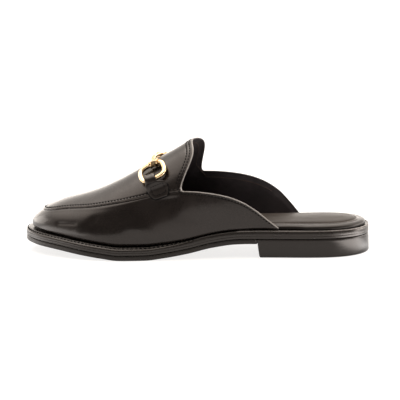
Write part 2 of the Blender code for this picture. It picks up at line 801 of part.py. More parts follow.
def make_strap(name, trim, material, collection):
    """A strap tab: stitched flat on the apron below, folded round the ring's lower side above."""
    flat = JOINT_GAP + STRAP_THICKNESS / 2
    radius = RING_WIRE / 2 + TRIM_CLEARANCE + STRAP_THICKNESS / 2
    path = []
    for i in range(13):
        share = i / 12
        down = RING_DROP + STRAP_LENGTH * (1 - share)
        rise = smooth_step((share - 0.4) / 0.6)
        path.append((down, flat + (trim.low_height + radius - flat) * rise))
    for i in range(1, 9):
        turn = math.pi / 2 + math.pi * i / 8
        path.append((RING_DROP + (radius + FOLD_SLACK) * math.cos(turn), trim.low_height + radius * math.sin(turn)))
    path.append((RING_DROP + 0.3 * radius, flat))
    vertices, faces = [], []
    steps = 6
    for k, (down, height) in enumerate(path):
        reach = (RING_DROP + STRAP_LENGTH - down) / (0.55 * STRAP_WIDTH)
        neck = smooth_step((RING_DROP + STRAP_SHOULDER - down) / STRAP_FLARE) if k < 13 else 1.0
        width = STRAP_WIDTH + (STRAP_NECK - STRAP_WIDTH) * neck
        half = width / 2 * (0.55 + 0.45 * math.sqrt(1 - (1 - min(reach, 1.0)) ** 2))
        follow = smooth_step((RING_DROP + STRAP_SHOULDER - down) / STRAP_FLARE) if k < 13 else 1.0
        for i in range(steps + 1):
            along = half * (2 * i / steps - 1) + (STRAP_WIDTH - STRAP_NECK) / 2 * (1 - neck)
            vertices.append(trim.patch.point(along, down, height) - trim.across * trim.sag(along) * follow)
    for k in range(len(path) - 1):
        for i in range(steps):
            a = k * (steps + 1) + i
            faces.append((a, a + 1, a + steps + 2, a + steps + 1))
    strap = add_mesh(name, vertices, faces, material, collection)
    wall = strap.modifiers.new("wall", "SOLIDIFY")
    wall.thickness = STRAP_THICKNESS
    wall.offset = 0


def clear_scene():
    for item in list(bpy.data.objects):
        bpy.data.objects.remove(item)


def main():
    clear_scene()
    collection = bpy.data.collections.new("flat_mule")
    tools = bpy.data.collections.new("cutters")
    for holder in (collection, tools):
        bpy.context.scene.collection.children.link(holder)
    black = (0.035, 0.030, 0.028)
    make_welt(add_material("welt_leather", (0.030, 0.027, 0.025), 0.45), collection)
    make_outsole(add_material("outsole_rubber", (0.028, 0.026, 0.025), 0.60), collection)
    make_heel(add_material("heel_stack", (0.033, 0.029, 0.027), 0.30), collection)
    make_insole(add_material("insole_leather", (0.050, 0.045, 0.040), 0.40), collection)
    make_sock(add_material("sock_leather", (0.055, 0.050, 0.045), 0.40), collection)
    make_upper(add_material("upper_leather", black, 0.35), collection)
    trims = Trim(LATERAL), Trim(MEDIAL)
    gold = (0.800, 0.620, 0.380)
    for label, trim in zip(("lateral", "medial"), trims):
        make_ring("bit_ring_" + label, trim, add_material("ring_metal_" + label, gold, 0.20, 1.0), collection)
        make_strap("strap_tab_" + label, trim, add_material("strap_leather_" + label, black, 0.35), collection)
    make_bar(trims, add_material("bar_metal", gold, 0.20, 1.0), collection, tools)


main()
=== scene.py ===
import math
from types import SimpleNamespace

import bpy
import numpy as np
from mathutils import Matrix, Vector


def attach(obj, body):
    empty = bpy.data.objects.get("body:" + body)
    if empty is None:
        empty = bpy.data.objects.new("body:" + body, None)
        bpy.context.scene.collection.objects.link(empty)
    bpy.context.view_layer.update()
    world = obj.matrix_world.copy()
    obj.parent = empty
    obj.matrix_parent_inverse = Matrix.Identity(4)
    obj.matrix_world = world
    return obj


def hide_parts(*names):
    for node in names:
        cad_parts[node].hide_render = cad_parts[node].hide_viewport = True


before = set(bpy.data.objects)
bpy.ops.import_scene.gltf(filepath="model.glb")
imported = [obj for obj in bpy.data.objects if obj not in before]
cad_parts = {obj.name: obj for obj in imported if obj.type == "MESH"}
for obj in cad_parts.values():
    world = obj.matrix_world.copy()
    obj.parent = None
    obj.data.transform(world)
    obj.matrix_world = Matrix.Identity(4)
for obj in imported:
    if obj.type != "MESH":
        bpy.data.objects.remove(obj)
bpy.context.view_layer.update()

# The shoe's own sizes, in metres, as its solids have them
SOLE_LENGTH = 0.2660
BALL_WIDTH = 0.0915
WAIST_WIDTH = 0.0585
HEEL_WIDTH = 0.0630
TOE_WIDTH = 0.0575
HEEL_RISE = 0.0102
TOE_SPRING = 0.0080
WELT_THICKNESS = 0.0062
OUTSOLE_THICKNESS = 0.0036
HEEL_LENGTH = 0.0808
BREAST_SLANT = 0.0016
WELT_BEVEL_WIDTH = 0.0022
WELT_BEVEL_HEIGHT = 0.0018
JOINT_GAP = 0.0003
UPPER_WALL = 0.0020
APRON_STEP = 0.0009
TOE_LEDGE = 0.0052
BALL_LEDGE = 0.0040
WAIST_LEDGE = 0.0012
HEEL_LEDGE = 0.0024
APEX_HEIGHT = 0.0853
APEX_STATION = 0.1306
RIDGE_SETBACK = 0.0330
RIDGE_FAN = 1.35
WALL_BULGE = 0.0026
INSOLE_THICKNESS = 0.0038
INSOLE_ROLL = 0.0065
INSOLE_SQUARENESS = 2.9
INSOLE_LEAD = 0.0120
SOCK_INSET = 0.0068
TRIM_PLACE = 0.180
RING_LENGTH = 0.0220
RING_WIDTH = 0.0168
RING_WIRE = 0.0030
RING_SQUARENESS = 3.1
RING_OFFSET = 0.0032
RING_DROP = 0.0326
TRIM_CLEARANCE = 0.0004
BAR_WIRE = 0.0034
BAR_OFFSET = 0.0062
BARREL_LENGTH = 0.0074
BARREL_WALL = 0.0009
STRAP_WIDTH = 0.0140
STRAP_NECK = 0.0085
FOLD_SLACK = 0.0016
STRAP_LENGTH = 0.0138
STRAP_THICKNESS = 0.0012
STRAP_SHOULDER = 0.0065
STRAP_FLARE = 0.0045
MM = 0.001

# Share of SOLE_LENGTH, width, lateral offset of the outline's middle
OUTLINE_ROWS = (
    (0.000, 0.000 * HEEL_WIDTH, 0.000 * BALL_WIDTH),
    (0.030, 0.660 * HEEL_WIDTH, 0.000 * BALL_WIDTH),
    (0.080, 0.930 * HEEL_WIDTH, 0.000 * BALL_WIDTH),
    (0.160, 1.010 * HEEL_WIDTH, 0.004 * BALL_WIDTH),
    (0.250, 0.975 * HEEL_WIDTH, 0.012 * BALL_WIDTH),
    (0.340, 1.000 * WAIST_WIDTH, 0.028 * BALL_WIDTH),
    (0.430, 1.030 * WAIST_WIDTH, 0.040 * BALL_WIDTH),
    (0.520, 0.780 * BALL_WIDTH, 0.036 * BALL_WIDTH),
    (0.600, 0.905 * BALL_WIDTH, 0.020 * BALL_WIDTH),
    (0.680, 0.992 * BALL_WIDTH, 0.000 * BALL_WIDTH),
    (0.740, 0.998 * BALL_WIDTH, -0.018 * BALL_WIDTH),
    (0.810, 0.930 * BALL_WIDTH, -0.042 * BALL_WIDTH),
    (0.870, 0.800 * BALL_WIDTH, -0.062 * BALL_WIDTH),
    (0.930, 1.000 * TOE_WIDTH, -0.078 * BALL_WIDTH),
    (0.970, 0.680 * TOE_WIDTH, -0.088 * BALL_WIDTH),
    (1.000, 0.000 * TOE_WIDTH, -0.092 * BALL_WIDTH),
)
# Share of SOLE_LENGTH, height of the sole's underside
UNDERSIDE_ROWS = (
    (0.000, 1.000 * HEEL_RISE), (0.325, 1.000 * HEEL_RISE), (0.363, 0.975 * HEEL_RISE),
    (0.430, 0.760 * HEEL_RISE), (0.498, 0.385 * HEEL_RISE), (0.565, 0.125 * HEEL_RISE),
    (0.615, 0.000 * HEEL_RISE), (0.690, 0.000 * TOE_SPRING), (0.740, 0.170 * TOE_SPRING),
    (0.810, 0.430 * TOE_SPRING), (0.884, 0.700 * TOE_SPRING), (0.950, 0.880 * TOE_SPRING),
    (1.000, 1.000 * TOE_SPRING),
)
# Share of SOLE_LENGTH, ledge of the welt
LEDGE_ROWS = (
    (0.00, HEEL_LEDGE), (0.28, HEEL_LEDGE), (0.36, WAIST_LEDGE), (0.48, WAIST_LEDGE),
    (0.60, 0.80 * BALL_LEDGE), (0.70, BALL_LEDGE), (0.85, BALL_LEDGE), (1.00, TOE_LEDGE),
)
# Share of the way from the apex to the ridge's front end, share of APEX_HEIGHT
RIDGE_ROWS = (
    (-0.90, 1.216), (-0.50, 1.151), (-0.20, 1.067), (0.00, 1.000), (0.12, 0.926), (0.25, 0.847),
    (0.38, 0.769), (0.50, 0.697), (0.62, 0.629), (0.74, 0.569), (0.86, 0.519), (1.00, 0.472),
)
# Place along the seam, height as a share of APEX_HEIGHT
SEAM_ROWS = (
    (0.00, 0.584), (0.10, 0.565), (0.24, 0.527), (0.36, 0.495), (0.48, 0.466),
    (0.62, 0.436), (0.76, 0.413), (0.88, 0.384), (1.00, 0.359),
)
# Share of the way from the quarter's end to the notch, share of the collar's rise
LATERAL_COLLAR_ROWS = (
    (0.00, 0.000), (0.10, 0.200), (0.22, 0.450), (0.36, 0.680),
    (0.52, 0.835), (0.70, 0.930), (0.86, 0.982), (1.00, 1.000),
)
MEDIAL_COLLAR_ROWS = (
    (0.00, 0.000), (0.10, 0.275), (0.22, 0.560), (0.36, 0.765),
    (0.52, 0.895), (0.70, 0.970), (0.86, 0.998), (1.00, 1.000),
)
# Place, flatness across the top, squareness of the shoulder, bulge
RIB_ROWS = (
    (-0.60, 2.00, 2.30, 0.80),
    (0.00, 1.75, 2.35, 1.00),
    (0.35, 2.05, 2.40, 0.75),
    (0.65, 2.20, 2.70, 0.45),
    (0.85, 2.35, 3.40, 0.30),
    (1.00, 2.40, 3.00, 0.20),
)


def spline(rows, period=None):
    """A smooth curve through rows of two numbers: natural at its ends, or repeating after period."""
    k, v = np.array(rows, float).T
    if period is not None:
        k, v = np.append(k, k[0] + period), np.append(v, v[0])
    n, h = len(k), np.diff(k)
    slope = np.diff(v) / h
    a, b = np.zeros((n, n)), np.zeros(n)
    for i in range(1, n - 1):
        a[i, i - 1 : i + 2] = h[i - 1], 2 * (h[i - 1] + h[i]), h[i]
        b[i] = 6 * (slope[i] - slope[i - 1])
    if period is None:
        a[0, 0] = a[-1, -1] = 1
    else:
        a[0, 0], a[0, -1] = 1, -1
        a[-1, 0], a[-1, 1], a[-1, -2], a[-1, -1] = 2 * h[0], h[0], h[-1], 2 * h[-1]
        b[-1] = 6 * (slope[0] - slope[-1])
    m = np.linalg.solve(a, b)

    def at(x):
        if period is not None:
            x = k[0] + (x - k[0]) % period
        i = int(np.clip(np.searchsorted(k, x) - 1, 0, n - 2))
        s, t = k[i + 1] - x, x - k[i]
        curve = (m[i] * s**3 + m[i + 1] * t**3) / (6 * h[i])
        return curve + (v[i] / h[i] - m[i] * h[i] / 6) * s + (v[i + 1] / h[i] - m[i + 1] * h[i] / 6) * t

    return at


def monotone(rows, column=1):
    """A curve through a table's column that never overshoots and holds its end values outside."""
    k, v = np.array([r[0] for r in rows], float), np.array([r[column] for r in rows], float)
    h = np.diff(k)
    slope = np.diff(v) / h
    tangent = np.zeros(len(k))
    tangent[0], tangent[-1] = slope[0], slope[-1]
    for i in range(1, len(k) - 1):
        if slope[i - 1] * slope[i] > 0:
            w1, w2 = 2 * h[i] + h[i - 1], h[i] + 2 * h[i - 1]
            tangent[i] = (w1 + w2) / (w1 / slope[i - 1] + w2 / slope[i])

    def at(x):
        x = min(max(x, k[0]), k[-1])
        i = int(np.clip(np.searchsorted(k, x) - 1, 0, len(k) - 2))
        t = (x - k[i]) / h[i]
        start = (2 * t**3 - 3 * t**2 + 1) * v[i] + (t**3 - 2 * t**2 + t) * h[i] * tangent[i]
        return start + (3 * t**2 - 2 * t**3) * v[i + 1] + (t**3 - t**2) * h[i] * tangent[i + 1]

    return at


def smooth_step(x):
    x = min(max(x, 0.0), 1.0)
    return x * x * (3 - 2 * x)


def bell(x, middle, width):
    return math.exp(-(((x - middle) / width) ** 2))


def signed_power(value, power):
    return math.copysign(abs(value) ** power, value)


def unit(v):
    v = np.array(v, float)
    return v / np.linalg.norm(v)


def lengths_of(points):
    """Distances along a line of points, from its start."""
    return np.append(0.0, np.cumsum(np.linalg.norm(np.diff(points, axis=0), axis=1)))


def at_length(points, lengths, wanted):
    """The point or points of a line at the wanted distances along it."""
    return np.stack([np.interp(wanted, lengths, points[:, k]) for k in range(3)], axis=-1)


def angle_at(station):
    return math.acos(1 - 2 * min(max(station, 0.0), SOLE_LENGTH) / SOLE_LENGTH)


def make_outline():
    lateral = [(angle_at(r[0] * SOLE_LENGTH), r[2] + r[1] / 2) for r in OUTLINE_ROWS]
    medial = [(2 * math.pi - angle_at(r[0] * SOLE_LENGTH), r[2] - r[1] / 2) for r in OUTLINE_ROWS[1:-1]]
    return spline(lateral + medial[::-1], period=2 * math.pi)


outline_y = make_outline()
underside = monotone(UNDERSIDE_ROWS)
ledge = monotone(LEDGE_ROWS)
OUTLINE_TURN = np.linspace(0, 2 * math.pi, 721)
OUTLINE_MIDDLE = (max(map(outline_y, OUTLINE_TURN)) + min(map(outline_y, OUTLINE_TURN))) / 2


def outline_point(angle):
    return np.array([SOLE_LENGTH * (1 - math.cos(angle)) / 2, outline_y(angle) - OUTLINE_MIDDLE])


def inset_point(angle, inset):
    """A point on the outline moved inwards by a length or a function of the station's share."""
    step = 1e-4
    tangent = outline_point(angle + step) - outline_point(angle - step)
    inward = np.array([tangent[1], -tangent[0]]) / np.hypot(*tangent)
    here = outline_point(angle)
    distance = inset(here[0] / SOLE_LENGTH) if callable(inset) else inset
    return here + inward * distance


def sole_top(station):
    return underside(station / SOLE_LENGTH) + OUTSOLE_THICKNESS + WELT_THICKNESS


def middle_of(station):
    angle = angle_at(station)
    return (outline_point(angle)[1] + outline_point(2 * math.pi - angle)[1]) / 2


RIDGE_END = SOLE_LENGTH - TOE_LEDGE - RIDGE_SETBACK
TOE_POINT = SOLE_LENGTH - TOE_LEDGE
ridge_share = spline(RIDGE_ROWS)
seam_share = spline(SEAM_ROWS)
rib_flatness, rib_squareness, rib_bulge = (monotone(RIB_ROWS, column) for column in (1, 2, 3))


def ridge_height(station):
    return APEX_HEIGHT * ridge_share((station - APEX_STATION) / (RIDGE_END - APEX_STATION))


class Side:
    """One side of the upper. A rib's place is 0 at the notch, 1 at the toe and below 0 along the quarter."""

    def __init__(self, name, sign, notch, quarter_end, collar_height, tongue_sweep, sweep_lean, collar_rows):
        self.name = name
        self.sign = sign
        self.notch = notch
        self.quarter_end = quarter_end
        self.collar_height = collar_height
        self.tongue_sweep = tongue_sweep
        self.sweep_lean = sweep_lean
        self.collar_share = monotone(collar_rows)
        self.last_place = (quarter_end - notch) / (TOE_POINT - notch)

    def foot_angle(self, place):
        if place < 0:
            along = angle_at(self.notch + place * (TOE_POINT - self.notch))
        else:
            start = angle_at(self.notch)
            along = start + (math.pi - start) * 2 / math.pi * math.asin(min(place, 1.0))
        return along if self.sign > 0 else 2 * math.pi - along

    def collar(self, station):
        share = (station - self.quarter_end) / (self.notch - self.quarter_end)
        tip = sole_top(self.quarter_end) + 1.6 * MM
        return tip + (self.collar_height - tip) * self.collar_share(share)


LATERAL = Side("lateral", 1, 0.1372, 0.0647, 0.0508, 0.0052, 1.35, LATERAL_COLLAR_ROWS)
MEDIAL = Side("medial", -1, 0.1303, 0.0543, 0.0568, 0.0060, 1.00, MEDIAL_COLLAR_ROWS)


def ridge_station(place):
    if place < 0:
        return APEX_STATION + place * (TOE_POINT - APEX_STATION)
    return APEX_STATION + (RIDGE_END - APEX_STATION) * (1 - (1 - place) ** RIDGE_FAN)


class Rib:
    """The last's section at one place: turn is 0 on the ridge and pi / 2 on the feather line."""

    def __init__(self, side, place):
        self.side, self.place = side, place
        foot = inset_point(side.foot_angle(place), ledge)
        self.foot_height = sole_top(foot[0]) + JOINT_GAP
        self.station = ridge_station(place)
        self.top = np.array([self.station, middle_of(self.station)])
        self.slope = (ridge_height(self.station + 1e-4) - ridge_height(self.station - 1e-4)) / 2e-4
        self.roof = ridge_height(self.station)
        self.reach = foot - self.top
        self.flat, self.square = rib_flatness(place), rib_squareness(place)
        self.bulge = WALL_BULGE * rib_bulge(place) / np.hypot(*self.reach)
        self.sweep = side.tongue_sweep * smooth_step(1 - place / 0.22)

    def point(self, turn):
        out = math.sin(turn) ** (2 / self.flat)
        drop = max(math.cos(turn), 0.0) ** (2 / self.square)
        bulge = self.bulge * math.sin(math.pi * drop**0.75) * smooth_step(3 * (1 - drop))
        x, y = self.top + self.reach * (out + bulge)
        x -= self.sweep * math.sin(math.pi * min(out / 0.86, 1.0) ** self.side.sweep_lean) ** 1.5
        roof = self.roof + self.slope * (x - self.station)
        return np.array([x, y, self.foot_height + (roof - self.foot_height) * drop])

    def turn_at(self, height_of):
        low, high = 0.0, math.pi / 2
        for _ in range(36):
            turn = (low + high) / 2
            x, _, z = self.point(turn)
            low, high = (turn, high) if z > height_of(x) else (low, turn)
        return (low + high) / 2

    def limit(self):
        """The turn at the topline along the quarter, or at the apron's seam before it."""
        if self.place < 0:
            return self.turn_at(self.side.collar)
        lift = (self.side.collar_height - APEX_HEIGHT * seam_share(0)) * (1 - smooth_step(self.place / 0.6))
        return self.turn_at(lambda x: APEX_HEIGHT * seam_share(self.place) + lift)

    def line(self, start, end, count=72):
        """Points between two turns and their distances along the rib."""
        points = np.array([self.point(t) for t in np.linspace(start, end, count)])
        return points, lengths_of(points)


def rib_point(side, place, turn):
    return Rib(side, place).point(turn)


def normal_at(side, place, turn):
    turn = min(max(turn, 0.02), math.pi / 2 - 0.02)
    step = 1e-3
    along = rib_point(side, place + step, turn) - rib_point(side, place - step, turn)
    down = rib_point(side, place, turn + step) - rib_point(side, place, turn - step)
    return unit(np.cross(along, down) * side.sign)


# Meshes


def add_object(name, shape, materials, node=None, looks=None, worn=None):
    """A piece whose stations are measured from the heel. node is the CAD node that it replaces."""
    vertices, faces = shape
    mesh = bpy.data.meshes.new(name)
    mesh.from_pydata([(x - SOLE_LENGTH / 2, y, z) for x, y, z in vertices], [], faces)
    for material in materials:
        mesh.materials.append(material)
    if looks is not None:
        mesh.polygons.foreach_set("material_index", looks)
    mesh.shade_smooth()
    mesh.validate()
    mesh.update()
    # A vertex mask towards the leather's lighter colour: wear on some pieces, a painted highlight on others.
    if worn is not None:
        attribute = mesh.attributes.new("worn", "FLOAT", "POINT")
        attribute.data.foreach_set("value", np.array(worn, dtype=np.float32))
    item = bpy.data.objects.new(name, mesh)
    bpy.context.scene.collection.objects.link(item)
    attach(item, "root")
    if node:
        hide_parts(node)
    return item


def ring_faces(rings, closed=False):
    """Faces between rings of vertex numbers. closed joins the last ring to the first."""
    faces = []
    for near, far in zip(rings, rings[1:] + (rings[:1] if closed else [])):
        for i in range(len(near)):
            j = (i + 1) % len(near)
            faces.append((near[i], near[j], far[j], far[i]))
    return faces


def tube(line, radii, sides=12, cyclic=False, square=2.0, up=None, turn=0.0):
    """Vertices and faces of a tube along a line, its section a superellipse of the given squareness."""
    line = np.array(line)
    ahead = np.roll(line, -1, axis=0) - np.roll(line, 1, axis=0)
    if not cyclic:
        ahead[0], ahead[-1] = line[1] - line[0], line[-1] - line[-2]
    ahead /= np.linalg.norm(ahead, axis=1)[:, None]
    side = np.array([0.0, 0.0, 1.0])
    if abs(ahead[0] @ side) > 0.9:
        side = np.array([0.0, 1.0, 0.0])
    vertices = []
    for here, way, radius in zip(line, ahead, np.broadcast_to(radii, len(line))):
        side = side if up is None else np.array(up)
        side = unit(side - way * (side @ way))
        other = np.cross(way, side)
        for j in range(sides):
            a = 2 * math.pi * j / sides + turn
            u, v = signed_power(math.cos(a), 2 / square), signed_power(math.sin(a), 2 / square)
            vertices.append(here + (side * u + other * v) * radius)
    rings = np.arange(len(vertices)).reshape(-1, sides).tolist()
    faces = ring_faces(rings, closed=cyclic)
    if not cyclic:
        faces += [rings[0][::-1], rings[-1]]
    return vertices, faces


def merge(parts):
    """One vertex list and one face list from several."""
    vertices, faces = [], []
    for v, f in parts:
        start = len(vertices)
        vertices += list(v)
        faces += [tuple(i + start for i in face) for face in f]
    return vertices, faces


def resample(points, normals, pitch):
    """Points every pitch along a line, with tangents and normals."""
    points, normals = np.array(points), np.array(normals)
    lengths = lengths_of(points)
    count = max(int(lengths[-1] / pitch), 1)
    wanted = (np.arange(count) + 0.5) * lengths[-1] / count
    here, n = at_length(points, lengths, wanted), at_length(normals, lengths, wanted)
    t = at_length(points, lengths, wanted + 0.2 * MM) - at_length(points, lengths, wanted - 0.2 * MM)
    t /= np.linalg.norm(t, axis=1)[:, None]
    n -= t * np.sum(n * t, axis=1)[:, None]
    return here, t, n / np.linalg.norm(n, axis=1)[:, None]


def stitches(points, normals, pitch, length, thickness, sink):
    """Thread stitches along a line: each a short rounded bead that dips into its holes at both ends."""
    swell = np.array([0.55, 0.9, 1.0, 1.03, 1.0, 0.9, 0.55])
    parts = []
    for here, t, n in zip(*resample(points, normals, pitch)):
        line = []
        for k in np.linspace(-1, 1, len(swell)):
            lift = thickness * (0.5 - abs(k) ** 2.5) - sink
            line.append(here + t * k * length / 2 + n * lift)
        parts.append(tube(line, thickness / 2 * swell, sides=8))
    return merge(parts)


# Materials


class Nodes:
    """A node tree under construction. A value is a number, a colour or another node's output."""

    def __init__(self, tree):
        self.tree = tree
        self.coordinates = self.add("ShaderNodeTexCoord").outputs

    def add(self, kind, **values):
        node = self.tree.nodes.new(kind)
        for name, value in values.items():
            setattr(node, name, value)
        return node

    def put(self, target, value):
        if isinstance(value, tuple):
            target.default_value = (*value, 1)
        elif isinstance(value, float):
            target.default_value = value
        else:
            self.tree.links.new(value, target)

    def split(self, vector):
        node = self.add("ShaderNodeSeparateXYZ")
        self.put(node.inputs["Vector"], vector)
        return node.outputs

    def ramp(self, source, low, high, start, end, kind="LINEAR"):
        """Maps source from low..high to start..end."""
        node = self.add("ShaderNodeMapRange", interpolation_type=kind)
        names = ("Value", "From Min", "From Max", "To Min", "To Max")
        for name, value in zip(names, (source, low, high, start, end)):
            self.put(node.inputs[name], value)
        return node.outputs["Result"]

    def mix(self, factor, first, second, kind="RGBA"):
        node = self.add("ShaderNodeMix", data_type=kind)
        for name, value in (("Factor", factor), ("A", first), ("B", second)):
            self.put(node.inputs[name], value)
        return node.outputs["Result"]

    def calculate(self, operation, *values):
        node = self.add("ShaderNodeMath", operation=operation)
        for target, value in zip(node.inputs, values):
            self.put(target, value)
        return node.outputs["Value"]

    def sum(self, first, second):
        return self.calculate("ADD", first, second)


class Material(Nodes):
    def __init__(self, name, roughness, metallic=0.0, **sockets):
        self.material = bpy.data.materials.new(name)
        self.material.use_nodes = True
        super().__init__(self.material.node_tree)
        self.sockets = self.tree.nodes["Principled BSDF"].inputs
        for socket, value in dict(sockets, Roughness=roughness, Metallic=metallic).items():
            self.sockets[socket.replace("_", " ")].default_value = value

    def stretched(self, scale):
        mapping = self.add("ShaderNodeMapping")
        mapping.inputs["Scale"].default_value = scale
        self.put(mapping.inputs["Vector"], self.coordinates["Object"])
        return mapping.outputs["Vector"]

    def noise(self, size, detail=3.0, rough=0.5, vector=None, distortion=0.0):
        """Noise whose features are about size metres."""
        node = self.add("ShaderNodeTexNoise")
        names = ("Scale", "Detail", "Roughness", "Distortion", "Vector")
        vector = vector or self.coordinates["Object"]
        for name, value in zip(names, (1 / size, detail, rough, distortion, vector)):
            self.put(node.inputs[name], value)
        return node.outputs["Fac"]

    def cells(self, size):
        node = self.add("ShaderNodeTexVoronoi", feature="SMOOTH_F1")
        self.put(node.inputs["Scale"], 1 / size)
        self.put(node.inputs["Vector"], self.coordinates["Object"])
        return node.outputs["Distance"]

    def bump(self, height, strength, distance, before=None):
        node = self.add("ShaderNodeBump")
        self.put(node.inputs["Strength"], strength)
        self.put(node.inputs["Distance"], distance)
        self.put(node.inputs["Height"], height)
        if before is not None:
            self.put(node.inputs["Normal"], before)
        return node.outputs["Normal"]

    def finish(self, colour, roughness=None, normal=None):
        for name, value in (("Base Color", colour), ("Roughness", roughness), ("Normal", normal)):
            if value is not None:
                self.put(self.sockets[name], value)
        return self.material


def leather(name, dark, light, roughness, grain=0.9, depth=0.05, coat=0.12, shine=0.35, worn=None):
    """Finished leather with soft patches, and edges lightened towards a second colour by a vertex mask: wear
    on the upper and the strap, a painted highlight on the footbed and the sock. Its grain and depth are in
    millimetres.
    """
    tint = (1.0, 0.9, 0.84, 1)
    coating = dict(Coat_Weight=coat, Coat_Roughness=0.12)
    n = Material(name, roughness, Specular_IOR_Level=shine, Specular_Tint=tint, **coating)
    pebbles = n.cells(grain * MM)
    pores = n.noise(grain * MM * 0.35, detail=2.0)
    patches = n.noise(28 * MM, detail=4.0, distortion=0.6)
    clouds = n.noise(7 * MM, detail=3.0)
    tone = n.sum(n.ramp(patches, 0.3, 0.7, 0.0, 0.7), n.ramp(clouds, 0.3, 0.7, 0.0, 0.3))
    colour = n.mix(tone, dark, light)
    # The mask holds real wear on the upper and the strap, and a painted highlight on the footbed and the
    # sock.
    if worn is not None:
        edge = n.add("ShaderNodeAttribute", attribute_name="worn").outputs["Fac"]
        wear_and_highlight_mask = n.calculate("MULTIPLY", edge, n.ramp(n.noise(1.6 * MM, detail=4.0), 0.35, 0.65, 0.0, 1.0))
        colour = n.mix(wear_and_highlight_mask, colour, worn)
    gloss = n.ramp(patches, 0.3, 0.7, roughness - 0.05, roughness + 0.05)
    rough = n.sum(gloss, n.ramp(pores, 0.3, 0.7, -0.03, 0.03))
    fine = n.bump(pores, 0.25, depth * MM * 0.5)
    normal = n.bump(pebbles, 0.5, depth * MM, before=fine)
    soft = n.bump(n.noise(16 * MM, detail=2.0, distortion=0.4), 0.6, 0.36 * MM, before=normal)
    return n.finish(colour, rough, soft)


def edge_paint(name, dark, light, roughness, shine=0.34):
    """Trimmed and inked sole edge: fine lengthwise layers, small scuffs and dust."""
    n = Material(name, roughness, Specular_IOR_Level=shine, Specular_Tint=(1.0, 0.92, 0.87, 1))
    layers = n.noise(0.7 * MM, detail=2.0, vector=n.stretched((0.05, 0.05, 1.0)))
    patches = n.noise(18 * MM, detail=4.0)
    colour = n.mix(n.ramp(n.sum(layers, patches), 0.6, 1.4, 0.0, 1.0), dark, light)
    marks = n.noise(2.2 * MM, detail=5.0, rough=0.7, vector=n.stretched((0.35, 0.35, 1.0)))
    scuffs = n.ramp(marks, 0.66, 0.74, 0.0, 0.5)
    colour = n.mix(scuffs, colour, tuple(min(c * 2.6 + 0.02, 1.0) for c in light))
    rough = n.ramp(patches, 0.3, 0.7, roughness - 0.06, roughness + 0.06)
    normal = n.bump(layers, 0.35, 0.06 * MM, before=n.bump(n.noise(0.5 * MM), 0.2, 0.03 * MM))
    return n.finish(colour, rough, normal)


def rubber(name, dark, light):
    n = Material(name, 0.6)
    grit = n.noise(0.35 * MM, detail=3.0)
    colour = n.mix(n.ramp(n.noise(12 * MM, detail=4.0), 0.3, 0.7, 0.0, 1.0), dark, light)
    return n.finish(colour, n.ramp(grit, 0.3, 0.7, 0.5, 0.68), n.bump(grit, 0.5, 0.05 * MM))


def lining(name, dark, light):
    n = Material(name, 0.6, Specular_IOR_Level=0.3)
    grain = n.cells(0.7 * MM)
    colour = n.mix(n.ramp(n.noise(14 * MM, detail=4.0), 0.3, 0.7, 0.0, 1.0), dark, light)
    return n.finish(colour, n.ramp(n.noise(4 * MM), 0.3, 0.7, 0.56, 0.7), n.bump(grain, 0.35, 0.05 * MM))


def metal(name, dark, light, roughness):
    """Plated metal with a faint brush, small scratches and a slightly deeper tone in patches."""
    n = Material(name, roughness, 1.0)
    patches = n.noise(3.5 * MM, detail=4.0)
    brush = n.noise(0.25 * MM, detail=3.0, vector=n.stretched((1.0, 0.12, 0.12)))
    scratches = n.ramp(brush, 0.6, 0.75, 0.0, 1.0)
    colour = n.mix(n.ramp(patches, 0.35, 0.7, 0.0, 1.0), light, dark)
    gloss = n.ramp(patches, 0.3, 0.7, roughness - 0.04, roughness + 0.05)
    rough = n.sum(gloss, n.ramp(scratches, 0.0, 1.0, 0.0, 0.1))
    return n.finish(colour, rough, n.bump(scratches, 0.15, 0.02 * MM))


def thread(name, dark, light):
    n = Material(name, 0.8, Specular_IOR_Level=0.12)
    twist = n.noise(0.2 * MM, detail=2.0)
    colour = n.mix(n.ramp(twist, 0.3, 0.7, 0.0, 1.0), dark, light)
    return n.finish(colour, None, n.bump(twist, 0.5, 0.06 * MM))


UPPER_LEATHER = leather(
    "upper_leather_black", (0.0045, 0.0032, 0.0028), (0.0095, 0.0068, 0.0060), 0.27,
    worn=(0.075, 0.062, 0.054)
)
STRAP_LEATHER = leather(
    "strap_leather_black", (0.0045, 0.0034, 0.0030), (0.0095, 0.0070, 0.0062), 0.30, grain=0.7,
    worn=(0.07, 0.06, 0.05)
)
LINING = lining("lining_dark", (0.0120, 0.0085, 0.0096), (0.0210, 0.0150, 0.0160))
# A light colour that paints highlights: along the welt's top edge round the heel and along the footbed's lip.
RIM_HIGHLIGHT_PAINT = leather(
    "rim_line", (0.085, 0.076, 0.070), (0.15, 0.135, 0.125), 0.42, grain=0.4, depth=0.02,
    coat=0.0, shine=0.3
)
# A light grey that paints the highlight along the fold of the topline's outer half.
TOPLINE_HIGHLIGHT_PAINT = leather(
    "topline_edge", (0.16, 0.145, 0.135), (0.25, 0.23, 0.215), 0.38, grain=0.4, depth=0.02
)
SOFT = dict(grain=0.6, depth=0.03, coat=0.0)
# The footbed leather's lighter second colour paints the highlight along the top of its roll.
INSOLE_LEATHER = leather(
    "insole_leather_brown", (0.0052, 0.0044, 0.0038), (0.0105, 0.0090, 0.0078), 0.33, shine=0.21,
    worn=(0.06, 0.052, 0.046), **SOFT
)
